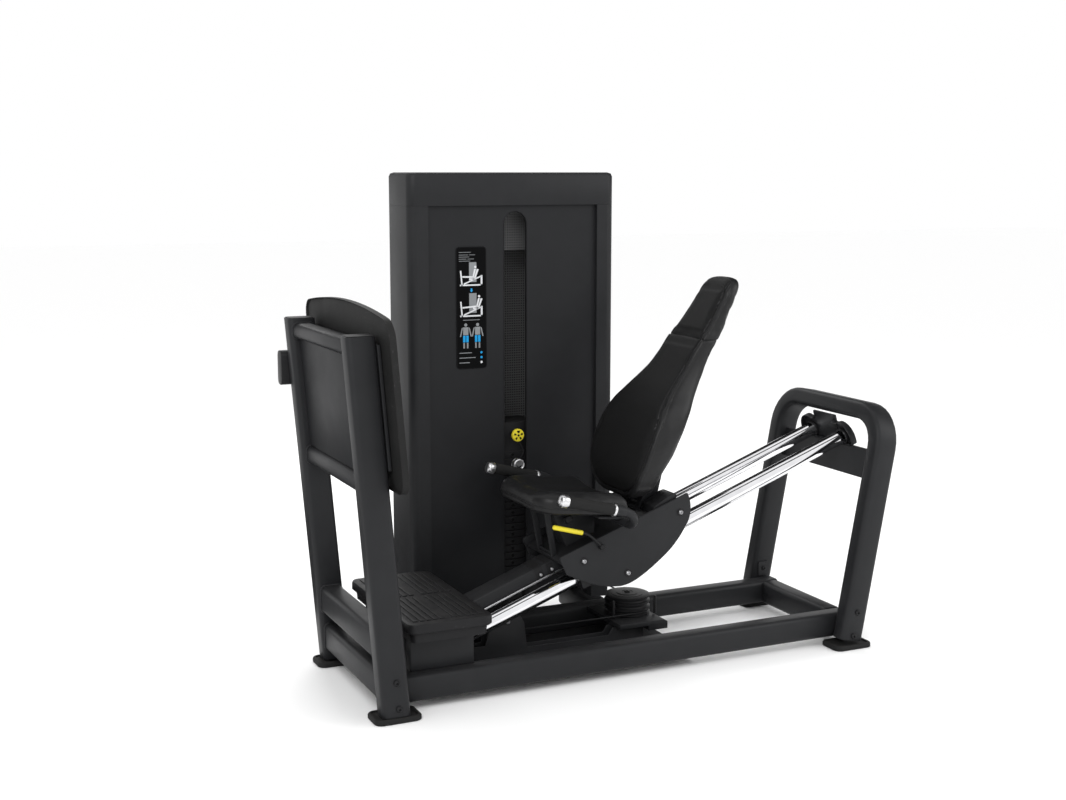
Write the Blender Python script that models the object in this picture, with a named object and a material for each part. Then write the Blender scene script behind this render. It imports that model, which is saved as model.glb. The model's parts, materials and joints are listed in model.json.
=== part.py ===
"""Seated leg press with a weight stack.

The seat carriage rides up two inclined guide rods, away from a fixed foot plate.  A cable runs
from the carriage's pull beam round a front pulley, a flat base pulley and the tower's pulleys
to the weight stack.

Frame: metres, +Z up.  The foot plate faces +X, and +Y points from the near side to the tower.
The origin is on the floor, at the centre of the machine's bounding box.
"""
import bpy
import bmesh
from math import cos, pi, radians, sin, sqrt
from mathutils import Vector

# ---------------------------------------------------------------- driving dimensions (metres)
GAP = 0.0003                    # clearance between touching pieces
MID_X = 0.0055                  # every x and y below is measured from this vertical line,
MID_Y = -0.0855                 # which stands in the seat's middle plane

TUBE_DEEP = 0.090               # frame tube, long side
TUBE_THIN = 0.070               # frame tube, short side
TUBE_R = 0.016                  # frame tube, corner radius
BASE_Z0 = 0.026                 # underside of the base rails
BASE_Z1 = 0.110                 # top of the base rails
RAIL_Y = 0.225                  # base rail centre lines
LEG_Y = 0.299                   # upright centre lines
INNER_Y = LEG_Y - TUBE_THIN / 2 - GAP
PAD_T = 0.017                   # foot pad thickness

UPRIGHT_X0 = -0.853             # upright centre line on the floor
UPRIGHT_LEAN = -0.0818          # its change in x per metre of height
UPRIGHT_TOP = 1.160
PLATE_BACK = TUBE_DEEP / 2 + 0.011      # back of the foot plate, from the uprights' centre line
REAR_X1 = 0.845                 # rear end of the base rails

HOOP_X0 = 0.799                 # hoop centre line on the floor
HOOP_LEAN = radians(10.2)
HOOP_TOP = 0.838
HOOP_R = 0.115                  # bend radius of the hoop's centre line
HOOP_Y = 0.293                  # its leg centre lines
HOOP_THIN = 0.062               # its tube's short side

ROD_ANGLE = radians(20.5)       # slope of the guide rods
ROD_R = 0.025
ROD_Y = 0.090
ROD_X = 0.244                   # a point on the rods' centre line
ROD_Z = 0.4493
ROD_X0 = -0.620                 # lower and upper ends, in x
ROD_X1 = 0.915

STEP_X = (-0.800, -0.520)
STEP_Y = 0.290
STEP_TOP = 0.283
STEP_SKIRT = 0.065

BEAM_X = (-0.490, 0.160)        # pull beam ends, in x on the rods' centre line
BEAM_Y = 0.045
BEAM_H = (0.022, 0.075)         # its underside and top, square to the rods
CABLE_R = 0.003

FRONT_PULLEY = Vector((-0.362, 0.0, 0.165))
FRONT_PULLEY_R = 0.050
BASE_PULLEY = Vector((0.137, 0.074, 0.141))
BASE_PULLEY_R = 0.080
BASE_PULLEY_H = 0.062
GROOVE = 0.006                  # depth from a pulley's rim to the cable's centre

SIDE_Y = (0.1400, 0.1480)       # inner and outer face of the carriage side plates

TOWER_X = (-0.546, 0.231)
TOWER_Y = (0.366, 0.586)
TOWER_Z0 = 0.130
TOWER_Z1 = 1.622
TOWER_R = 0.030
TOWER_WALL = 0.070              # width of the side columns, seen from the front
HEADER_Z = 1.510                # underside of the tower's header
PANEL_Y = 0.380                 # front face of the recessed panel
PANEL_T = 0.004
SLOT_W = 0.084
SLOT_TOP = 1.488
SLOT_BOTTOM = 0.160

STACK_X = -0.150
STACK_Y = (0.407, 0.565)
STACK_W = 0.300
PLATE_PITCH = 0.0263
STACK_Z0 = 0.142                # underside of the lowest plate
REST_PLATES = 17
SELECTED_Z = STACK_Z0 + REST_PLATES * PLATE_PITCH
HEAD_Z1 = 0.745
GUIDE_ROD_R = 0.009
TOWER_PULLEY_R = 0.045
CABLE_Y = 0.486                 # cable plane inside the tower
TOP_PULLEY_Z = 1.420

HANDLE_R = 0.0145
HANDLE_Y = 0.290
HANDLE_X = -0.020               # where its cross run passes under the seat
HANDLE_LOW = 0.4995             # height of that run

SLOPE = Vector((cos(ROD_ANGLE), 0, sin(ROD_ANGLE)))     # up the rods
ACROSS = Vector((-sin(ROD_ANGLE), 0, cos(ROD_ANGLE)))   # square to them, upwards

# ------------------------------------------------------------------------------- materials
FINISHES = {
    "powder_coat": ((0.040, 0.041, 0.044), 0.55, 0.0),
    "panel_coat": ((0.045, 0.046, 0.050), 0.60, 0.0),
    "cast_plate": ((0.020, 0.020, 0.022), 0.60, 0.2),
    "black_plastic": ((0.020, 0.020, 0.022), 0.45, 0.0),
    "rubber": ((0.018, 0.018, 0.019), 0.80, 0.0),
    "vinyl": ((0.022, 0.022, 0.024), 0.40, 0.0),
    "seat_fabric": ((0.016, 0.016, 0.017), 0.85, 0.0),
    "chrome": ((0.80, 0.80, 0.82), 0.08, 1.0),
    "satin_aluminium": ((0.70, 0.70, 0.72), 0.30, 1.0),
    "yellow_plastic": ((0.78, 0.68, 0.06), 0.40, 0.0),
    "cable_jacket": ((0.015, 0.015, 0.016), 0.40, 0.0),
}


def finish(slot):
    """The Principled material of one finish, made once."""
    name = slot
    if name in bpy.data.materials:
        return bpy.data.materials[name]
    colour, rough, metal = FINISHES[slot]
    material = bpy.data.materials.new(name)
    material.use_nodes = True
    shader = material.node_tree.nodes["Principled BSDF"]
    shader.inputs["Base Color"].default_value = (*colour, 1)
    shader.inputs["Roughness"].default_value = rough
    shader.inputs["Metallic"].default_value = metal
    return material


# ------------------------------------------------------------------------- building blocks
def at(x, y, z):
    """A point given from the seat's middle plane."""
    return Vector((MID_X + x, MID_Y + y, z))


def slope_xz(x, lift):
    """(x, z) of the point `lift` above the rods' centre line, square to it, at its place x."""
    z = ROD_Z + (x - ROD_X) * sin(ROD_ANGLE) / cos(ROD_ANGLE)
    return x + ACROSS.x * lift, z + ACROSS.z * lift


def on_slope(x, lift, y=0.0):
    """The same point as a place in the frame, `y` from the middle plane."""
    place_x, place_z = slope_xz(x, lift)
    return at(place_x, y, place_z)


def add(name, mesh_bm, slot, smooth=True):
    """Turn a bmesh into a named object with its material and outward faces."""
    bmesh.ops.remove_doubles(mesh_bm, verts=mesh_bm.verts, dist=0.00001)
    bmesh.ops.recalc_face_normals(mesh_bm, faces=mesh_bm.faces)
    mesh = bpy.data.meshes.new(name)
    mesh_bm.to_mesh(mesh)
    mesh_bm.free()
    mesh.materials.append(finish(slot))
    if smooth:
        mesh.shade_smooth()
        mesh.set_sharp_from_angle(angle=radians(35))
    obj = bpy.data.objects.new(name, mesh)
    bpy.context.collection.objects.link(obj)
    return obj


def rounded_rect(width, height, radius, steps=3):
    """Outline points of a rounded rectangle, centred, counter-clockwise."""
    points = []
    for corner, (sx, sy) in enumerate(((1, 1), (-1, 1), (-1, -1), (1, -1))):
        cx = sx * (width / 2 - radius)
        cy = sy * (height / 2 - radius)
        for step in range(steps + 1):
            angle = pi / 2 * (corner + step / steps)
            points.append((cx + radius * cos(angle), cy + radius * sin(angle)))
    return points


def circle(radius, count):
    """Outline points of a circle."""
    return [(radius * cos(2 * pi * i / count), radius * sin(2 * pi * i / count)) for i in range(count)]


def loft(rings):
    """A closed body through rings that have the same number of points."""
    body = bmesh.new()
    loops = [[body.verts.new(p) for p in ring] for ring in rings]
    count = len(loops[0])
    for one, two in zip(loops, loops[1:]):
        for i in range(count):
            body.faces.new((one[i], one[(i + 1) % count], two[(i + 1) % count], two[i]))
    body.faces.new(loops[0])
    body.faces.new(loops[-1])
    return body


def sweep(section, path, up):
    """Carry an outline (across, up) along a path of points."""
    rings = []
    last = len(path) - 1
    for i, point in enumerate(path):
        tangent = (path[min(i + 1, last)] - path[max(i - 1, 0)]).normalized()
        side = tangent.cross(up).normalized()
        rise = side.cross(tangent).normalized()
        rings.append([point + side * a + rise * b for a, b in section])
    return loft(rings)


def box(low, high, radius=0.0, axis="X"):
    """A box between two corners given from the middle plane, its long edges along `axis` rounded."""
    low = at(*low)
    high = at(*high)
    if radius == 0:
        section = [(-0.5, -0.5), (0.5, -0.5), (0.5, 0.5), (-0.5, 0.5)]
    size = high - low
    centre = (low + high) / 2
    order = {"X": (0, 1, 2), "Y": (1, 2, 0), "Z": (2, 0, 1)}[axis]
    along, u, v = order
    if radius > 0:
        section = [(a / size[u], b / size[v]) for a, b in rounded_rect(size[u], size[v], radius)]
    rings = []
    for end in (-0.5, 0.5):
        ring = []
        for a, b in section:
            point = centre.copy()
            point[along] += end * size[along]
            point[u] += a * size[u]
            point[v] += b * size[v]
            ring.append(point)
        rings.append(ring)
    return loft(rings)


def prism(outline, y0, y1):
    """A plate with an (x, z) outline between two y places."""
    return loft([[at(x, y, z) for x, z in outline] for y in (y0, y1)])


def turned(profile, centre, axis, count=24):
    """A turned piece: (radius, height) points, from one end on the axis to the other."""
    turn = Vector((0, 0, 1)).rotation_difference(axis)
    rings = [[centre + turn @ Vector((r * cos(2 * pi * i / count), r * sin(2 * pi * i / count), h))
              for i in range(count)] for r, h in profile]
    return loft(rings)


def join(target, cutter_bm, operation):
    """Boolean a second body into or out of an object, and apply it."""
    tool = add(target.name + "_tool", cutter_bm, "powder_coat", smooth=False)
    modifier = target.modifiers.new("join", "BOOLEAN")
    modifier.operation = operation
    modifier.solver = "EXACT"
    modifier.object = tool
    graph = bpy.context.evaluated_depsgraph_get()
    mesh = bpy.data.meshes.new_from_object(target.evaluated_get(graph))
    target.modifiers.clear()
    target.data = mesh
    bpy.data.objects.remove(tool)
    mesh.shade_smooth()
    mesh.set_sharp_from_angle(angle=radians(35))


def arc(centre, radius, start, end, steps):
    """Points (a, b) along an arc, angles in degrees."""
    return [(centre[0] + radius * cos(radians(start + (end - start) * i / steps)),
             centre[1] + radius * sin(radians(start + (end - start) * i / steps))) for i in range(steps + 1)]


SIDES = (("near", -1), ("far", 1))


# ---------------------------------------------------------------------------- fixed frame
def base_frame():
    """Two rails, the cross tubes at both ends, and the four foot pads."""
    rail_x0 = UPRIGHT_X0 + UPRIGHT_LEAN * 0.093 + TUBE_THIN / 2 + GAP
    for side, sign in SIDES:
        low = (rail_x0, sign * RAIL_Y - TUBE_THIN / 2, BASE_Z0)
        high = (REAR_X1, sign * RAIL_Y + TUBE_THIN / 2, BASE_Z1)
        add(side + "_base_rail", box(low, high, TUBE_R), "powder_coat")
    inner = RAIL_Y - TUBE_THIN / 2 - GAP
    add("rear_cross_tube", box((REAR_X1 - TUBE_THIN, -inner, BASE_Z0), (REAR_X1, inner, BASE_Z1), TUBE_R, "Y"),
        "powder_coat")
    for name, z0 in (("front_lower_tube", 0.054), ("front_upper_tube", 0.183)):
        x = UPRIGHT_X0 + UPRIGHT_LEAN * (z0 + TUBE_DEEP / 2)
        add(name, box((x - TUBE_THIN / 2, -INNER_Y, z0), (x + TUBE_THIN / 2, INNER_Y, z0 + TUBE_DEEP), TUBE_R, "Y"),
            "powder_coat")
    pad_x, pad_y = 0.0750, 0.0525
    for end, x in (("front", UPRIGHT_X0), ("rear", HOOP_X0 + 0.003)):
        for side, sign in SIDES:
            y = sign * (LEG_Y + TUBE_THIN / 2 + 0.007 - pad_y)
            low, high = (x + 0.004 - pad_x, y - pad_y, 0), (x + 0.004 + pad_x, y + pad_y, PAD_T)
            add(side + "_" + end + "_foot_pad", box(low, high, 0.022, "Z"), "rubber")


def upright_x(z, offset=0.0):
    """x of the uprights' centre line at a height."""
    return UPRIGHT_X0 + UPRIGHT_LEAN * z + offset


def foot_rest():
    """The leaning uprights with their cross tubes, the recessed back panel and the foot plate."""
    for side, sign in SIDES:
        section = rounded_rect(TUBE_DEEP, TUBE_THIN, TUBE_R)
        rings = [[at(upright_x(z) + a, sign * LEG_Y + b, z) for a, b in section] for z in (PAD_T + GAP, UPRIGHT_TOP)]
        add(side + "_upright", loft(rings), "powder_coat")
    for name, z0, z1, depth in (("top_cross_tube", 1.098, 1.146, 0.070), ("middle_cross_tube", 0.690, 0.748, 0.062)):
        x = upright_x((z0 + z1) / 2)
        add(name, box((x - depth / 2, -INNER_Y, z0), (x + depth / 2, INNER_Y, z1), 0.018, "Y"), "powder_coat")
    panel = [(upright_x(z, dx), z) for z, dx in ((0.7485, -0.016), (0.7485, -0.012), (1.0975, -0.012), (1.0975, -0.016))]
    add("foot_rest_back_panel", prism(panel, -INNER_Y, INNER_Y), "panel_coat", smooth=False)
    near_face, far_face = TUBE_DEEP / 2 + GAP, PLATE_BACK - GAP
    corners = ((0.765, near_face), (0.765, far_face), (1.135, far_face), (1.135, near_face))
    backing = [(upright_x(z, dx), z) for z, dx in corners]
    add("foot_plate_backing", prism(backing, -0.330, 0.330), "powder_coat", smooth=False)
    foot_plate()
    low = (upright_x(1.0, -0.066), LEG_Y + TUBE_THIN / 2 + GAP, 0.938)
    high = (upright_x(1.0, 0.020), LEG_Y + TUBE_THIN / 2 + 0.048, 1.050)
    add("accessory_holder", box(low, high, 0.018), "black_plastic")


def foot_plate():
    """A wide flat plate with rounded corners and an arched top, leaning with the uprights."""
    half, corner, arch = 0.415, 0.050, 0.034
    bottom, top = 0.702, 1.206
    back, thick = PLATE_BACK, 0.020
    inner = half - corner
    places = [-half + corner * (1 - cos(radians(a))) for a in (0, 25, 50, 90)]
    places += [inner * i / 4 for i in (-3, -2, -1, 0, 1, 2, 3)]
    places += [half - corner * (1 - cos(radians(a))) for a in (90, 50, 25, 0)]
    rings = []
    for y in places:
        over = max(0.0, abs(y) - inner)
        trim = corner - sqrt(max(corner ** 2 - over ** 2, 0))
        z0 = bottom + trim
        z1 = top - trim + arch * (1 - (y / half) ** 2)
        rings.append([at(upright_x(z, dx), y, z) for z, dx in ((z0, back), (z0, back + thick), (z1, back + thick), (z1, back))])
    add("foot_plate", loft(rings), "rubber")


def rear_hoop():
    """The leaning inverted U at the rear, and the bracket that holds the guide rods."""
    lean = Vector((sin(HOOP_LEAN), 0, cos(HOOP_LEAN)))
    normal = Vector((cos(HOOP_LEAN), 0, -sin(HOOP_LEAN)))
    base = at(HOOP_X0, 0, 0)
    height = (HOOP_TOP - TUBE_DEEP / 2 * sin(HOOP_LEAN)) / cos(HOOP_LEAN) - HOOP_THIN / 2
    low = (PAD_T + 0.010) / cos(HOOP_LEAN)
    route = [(-HOOP_Y, low)]
    route += arc((-HOOP_Y + HOOP_R, height - HOOP_R), HOOP_R, 180, 90, 8)
    route += arc((HOOP_Y - HOOP_R, height - HOOP_R), HOOP_R, 90, 0, 8)
    route += [(HOOP_Y, low)]
    path = [base + Vector((0, y, 0)) + lean * s for y, s in route]
    hoop = add("rear_hoop", sweep(rounded_rect(HOOP_THIN, TUBE_DEEP, TUBE_R), path, normal), "powder_coat")
    # the legs are cut level, just above their pads
    join(hoop, box((HOOP_X0 - 0.2, -0.5, -0.05), (HOOP_X0 + 0.2, 0.5, PAD_T + GAP)), "DIFFERENCE")

    def hoop_x(z, offset):
        return HOOP_X0 + z * sin(HOOP_LEAN) / cos(HOOP_LEAN) + offset

    plate = [(hoop_x(z, dx), z) for z, dx in ((0.572, -0.004), (0.572, 0.004), (0.672, 0.004), (0.672, -0.004))]
    reach = HOOP_Y - HOOP_THIN / 2 - GAP
    bracket = add("rod_bracket", prism(plate, -reach, reach), "powder_coat", smooth=False)
    # the hood is a plate square to the rods, just past their ends, with a tab up to the hoop
    hood = [(0.9165, 0.6550), (0.9165, 0.6705), (0.9259, 0.6721), (0.8996, 0.7423), (0.9070, 0.7445), (0.9340, 0.6745),
            (0.9240, 0.6550)]
    join(bracket, prism(hood, -0.150, 0.150), "UNION")
    tab = [(0.9006, 0.7395), (0.8895, 0.7695), (0.8985, 0.7712), (0.9080, 0.7440), (0.9085, 0.7395)]
    join(bracket, prism(tab, -0.066, 0.066), "UNION")


def guide_rods():
    """Two chrome tubes from the step frame up to the hoop bracket."""
    for side, sign in SIDES:
        path = [on_slope(ROD_X0 + GAP, 0, sign * ROD_Y), on_slope(ROD_X1 - GAP, 0, sign * ROD_Y)]
        add(side + "_guide_rod", sweep(circle(ROD_R, 24), path, ACROSS), "chrome")


def step():
    """The step in front of the foot plate, on a frame that also holds the rods' lower ends."""
    low = (STEP_X[0], -STEP_Y, STEP_TOP - STEP_SKIRT)
    high = (STEP_X[1], STEP_Y, STEP_TOP)
    add("step_cover", box(low, high, 0.030, "Z"), "black_plastic")
    under = STEP_TOP - STEP_SKIRT - GAP
    low_x, low_z = slope_xz(ROD_X0, -0.050)
    high_x, high_z = slope_xz(ROD_X0, 0.050)
    block = [(-0.720, BASE_Z0), (low_x, BASE_Z0), (low_x, low_z), (high_x, high_z), (-0.690, high_z), (-0.720, 0.150)]
    inner = RAIL_Y - TUBE_THIN / 2 - GAP
    frame = add("step_frame", prism(block, -inner, inner), "powder_coat", smooth=False)
    outer = RAIL_Y - 0.010
    for sign in (-1, 1):
        y0, y1 = sorted((sign * (inner - 0.012), sign * outer))
        join(frame, box((-0.770, y0, BASE_Z1 + GAP), (-0.560, y1, under)), "UNION")


# ---------------------------------------------------------------------- cable and pulleys
def pulley(name, centre, radius, width, axis, grooves=1, hub=0.004, slot="black_plastic"):
    """A grooved wheel whose hub stands out `hub` each side; `centre` is from the middle plane."""
    half = width / 2
    profile = [(0.013, -half - hub), (0.013, -half), (radius, -half)]
    pitch = width / grooves
    for groove in range(grooves):
        middle = -half + pitch * (groove + 0.5)
        floor = radius - GROOVE - CABLE_R - 0.0012
        profile += [(radius, middle - pitch * 0.40), (floor, middle - pitch * 0.22),
                    (floor, middle + pitch * 0.22), (radius, middle + pitch * 0.40)]
    profile += [(radius, half), (0.013, half), (0.013, half + hub)]
    return add(name, turned(profile, at(*centre), axis), slot)


def base_pulleys():
    """The floor sheet and channel between the rails, the upright front pulley and the flat base pulley."""
    y_in, y_out = 0.018, 0.024
    reach = RAIL_Y - TUBE_THIN / 2 - GAP
    channel = add("base_channel", box((-0.600, -reach, BASE_Z0), (0.240, reach, BASE_Z0 + 0.008)), "powder_coat",
                  smooth=False)
    top = FRONT_PULLEY.z + 0.030
    wall = [(-0.600, BASE_Z0), (0.150, BASE_Z0), (0.150, 0.090), (0.030, 0.090), (0.015, 0.066), (-0.290, 0.066),
            (-0.300, 0.150), (-0.325, top), (-0.395, top), (-0.425, 0.150), (-0.440, 0.090), (-0.600, 0.090)]
    wall = [(min(max(x, -0.599), 0.149), max(z, BASE_Z0 + 0.001)) for x, z in wall]
    for sign in (-1, 1):
        y0, y1 = sorted((sign * y_in, sign * (y_out - 0.0005)))
        join(channel, prism(wall, y0, y1), "UNION")
    pulley("front_pulley", FRONT_PULLEY, FRONT_PULLEY_R, 0.024, Vector((0, 1, 0)), hub=y_in - 0.012 - GAP)
    z0 = BASE_PULLEY.z - BASE_PULLEY_H / 2
    pulley("base_pulley", (BASE_PULLEY.x, BASE_PULLEY.y, BASE_PULLEY.z), BASE_PULLEY_R, BASE_PULLEY_H,
           Vector((0, 0, 1)), grooves=3, hub=0.003)
    deck = z0 - 0.003 - GAP
    foot = [(0.040, 0.0905), (0.1505, 0.0905), (0.1505, 0.074), (0.224, 0.074), (0.224, 0.099), (0.208, deck),
            (0.040, deck)]
    add("base_pulley_mount", prism(foot, -0.060, RAIL_Y - TUBE_THIN / 2 - GAP), "powder_coat", smooth=False)


def wrap(centre, radius, u, v, start, end, steps):
    """Points round a pulley in the plane of u and v, angles in degrees."""
    return [centre + u * a + v * b for a, b in arc((0, 0), radius, start, end, steps)]


def cable_solid(name, points):
    """A round cable through the points of its route."""
    curve = bpy.data.curves.new(name, "CURVE")
    curve.dimensions = "3D"
    curve.bevel_depth = CABLE_R
    curve.bevel_resolution = 2
    curve.use_fill_caps = True
    spline = curve.splines.new("POLY")
    spline.points.add(len(points) - 1)
    for point, place in zip(spline.points, points):
        point.co = (*place, 1)
    curve.materials.append(finish("cable_jacket"))
    obj = bpy.data.objects.new(name, curve)
    bpy.context.collection.objects.link(obj)
    return obj


def cables():
    """The moving stretch at the beam, the whole run over the pulleys, and the stretch to the stack."""
    x_axis, y_axis, z_axis = Vector((1, 0, 0)), Vector((0, 1, 0)), Vector((0, 0, 1))
    radius = FRONT_PULLEY_R - GROOVE
    front = at(*FRONT_PULLEY)
    leave = front + ACROSS * radius
    anchor = leave + SLOPE * 0.090
    cable_solid("press_cable", [leave + SLOPE * 0.002, anchor - SLOPE * GAP])

    low_z = FRONT_PULLEY.z - radius
    flat_r = BASE_PULLEY_R - GROOVE
    flat = at(BASE_PULLEY.x, BASE_PULLEY.y, low_z)
    exit_x = BASE_PULLEY.x + flat_r
    small = TOWER_PULLEY_R - GROOVE
    lower = at(exit_x, CABLE_Y - small, low_z + small)
    right = at(exit_x - small, CABLE_Y, TOP_PULLEY_Z)
    left = at(STACK_X + small, CABLE_Y, TOP_PULLEY_Z)
    slope_deg = 90 + 20.5
    route = wrap(front, radius, x_axis, z_axis, slope_deg, 270, 8)
    route += wrap(flat, flat_r, x_axis, y_axis, -90, 0, 6)
    route += wrap(lower, small, y_axis, z_axis, -90, 0, 5)
    route += wrap(right, small, x_axis, z_axis, 0, 90, 5)
    route += wrap(left, small, x_axis, z_axis, 90, 180, 5)
    cable_solid("main_cable", route)
    cable_solid("stack_cable", [at(STACK_X, CABLE_Y, TOP_PULLEY_Z - 0.002), at(STACK_X, CABLE_Y, HEAD_Z1 + GAP)])
    pulley("tower_base_pulley", (exit_x, CABLE_Y - small, low_z + small), TOWER_PULLEY_R, 0.012, x_axis, hub=0.0015)
    pulley("right_top_pulley", (exit_x - small, CABLE_Y, TOP_PULLEY_Z), TOWER_PULLEY_R, 0.018, y_axis)
    pulley("left_top_pulley", (STACK_X + small, CABLE_Y, TOP_PULLEY_Z), TOWER_PULLEY_R, 0.018, y_axis)


# ------------------------------------------------------------------------------------ tower
def casing_outline():
    """The casing in plan: two front columns, the sides and the back, all one folded sheet."""
    x0, x1 = TOWER_X
    y0, y1 = TOWER_Y
    wall, lip = 0.012, 0.022
    outline = [(x0 + TOWER_WALL, y0)]
    outline += arc((x0 + TOWER_R, y0 + TOWER_R), TOWER_R, 270, 180, 4)
    outline += arc((x0 + TOWER_R, y1 - TOWER_R), TOWER_R, 180, 90, 4)
    outline += arc((x1 - TOWER_R, y1 - TOWER_R), TOWER_R, 90, 0, 4)
    outline += arc((x1 - TOWER_R, y0 + TOWER_R), TOWER_R, 360, 270, 4)
    outline += [(x1 - TOWER_WALL, y0), (x1 - TOWER_WALL, y0 + lip), (x1 - wall, y0 + lip + 0.010)]
    outline += [(x1 - wall, y1 - 0.034), (x1 - 0.034, y1 - wall), (x0 + 0.034, y1 - wall), (x0 + wall, y1 - 0.034)]
    outline += [(x0 + wall, y0 + lip + 0.010), (x0 + TOWER_WALL, y0 + lip)]
    return outline


def tower():
    """Casing panels round the weight stack, the base, and the tubes that tie it to the far rail."""
    x0, x1 = TOWER_X
    y0, y1 = TOWER_Y
    top = HEADER_Z - GAP
    add("tower_casing", loft([[at(x, y, z) for x, y in casing_outline()] for z in (TOWER_Z0, top)]), "powder_coat")
    section = rounded_rect(x1 - x0, y1 - y0, TOWER_R, 4)
    centre = at((x0 + x1) / 2, (y0 + y1) / 2, 0)
    rings = []
    for z, inset in ((HEADER_Z, 0), (TOWER_Z1 - 0.014, 0), (TOWER_Z1 - 0.004, 0.004), (TOWER_Z1, 0.014)):
        scale_x = 1 - 2 * inset / (x1 - x0)
        scale_y = 1 - 2 * inset / (y1 - y0)
        rings.append([centre + Vector((a * scale_x, b * scale_y, z)) for a, b in section])
    header = add("tower_top", loft(rings), "powder_coat")
    hang_top_pulleys(header)
    panel = [(x0 + TOWER_WALL + GAP, TOWER_Z0), (x1 - TOWER_WALL - GAP, TOWER_Z0),
             (x1 - TOWER_WALL - GAP, top), (x0 + TOWER_WALL + GAP, top)]
    front_panel = add("tower_front_panel", prism(panel, PANEL_Y, PANEL_Y + PANEL_T), "panel_coat", smooth=False)
    half = SLOT_W / 2
    slot = [(STACK_X - half, SLOT_BOTTOM), (STACK_X + half, SLOT_BOTTOM)]
    slot += arc((STACK_X, SLOT_TOP - half), half, 0, 180, 10)
    join(front_panel, prism(slot, PANEL_Y - 0.02, PANEL_Y + 0.02), "DIFFERENCE")

    deck = TOWER_Z0 - GAP
    under = [(y0, BASE_Z1 + GAP), (y1 - 0.085, BASE_Z1 + GAP), (y1 - 0.085, 0), (y1 - 0.010, 0), (y1 - 0.010, deck), (y0, deck)]
    rings = [[at(x, y, z) for y, z in under] for x in (x0 + 0.020, -0.060)]
    base = add("tower_base", loft(rings), "powder_coat", smooth=False)
    join(base, box((-0.062, 0.440, BASE_Z1 + 0.001), (0.155, y1 - 0.011, deck - 0.001)), "UNION")
    link_y0 = RAIL_Y + TUBE_THIN / 2 + GAP
    link = box((0.079, link_y0, BASE_Z0), (0.079 + TUBE_THIN, y1 - 0.085 - GAP, BASE_Z1), TUBE_R, "Y")
    add("tower_link_tube", link, "powder_coat")


def hang_top_pulleys(header):
    """Join a hanging plate to the header, with a stub behind each top pulley's hub."""
    small = TOWER_PULLEY_R - GROOVE
    exit_x = BASE_PULLEY.x + BASE_PULLEY_R - GROOVE
    plate_y = CABLE_Y + 0.020
    low, high = TOP_PULLEY_Z - 0.030, HEADER_Z + 0.010
    join(header, box((STACK_X - 0.020, plate_y, low), (exit_x - 0.005, plate_y + 0.006, high)), "UNION")
    for x in (STACK_X + small, exit_x - small):
        stub = [(0.011, plate_y + 0.003 - CABLE_Y), (0.011, 0.0133)]
        join(header, turned(stub, at(x, CABLE_Y, TOP_PULLEY_Z), Vector((0, 1, 0)), 16), "UNION")


def plate_outline(half_x, y0, y1):
    """A weight plate in plan, with a notch at each end for the guide rods."""
    middle = (y0 + y1) / 2
    notch, depth = GUIDE_ROD_R + 0.0015, 0.045
    x0, x1 = STACK_X - half_x, STACK_X + half_x
    return [(x0, y0), (x1, y0), (x1, middle - notch), (x1 - depth, middle - notch), (x1 - depth, middle + notch),
            (x1, middle + notch), (x1, y1), (x0, y1), (x0, middle + notch), (x0 + depth, middle + notch),
            (x0 + depth, middle - notch), (x0, middle - notch)]


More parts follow.
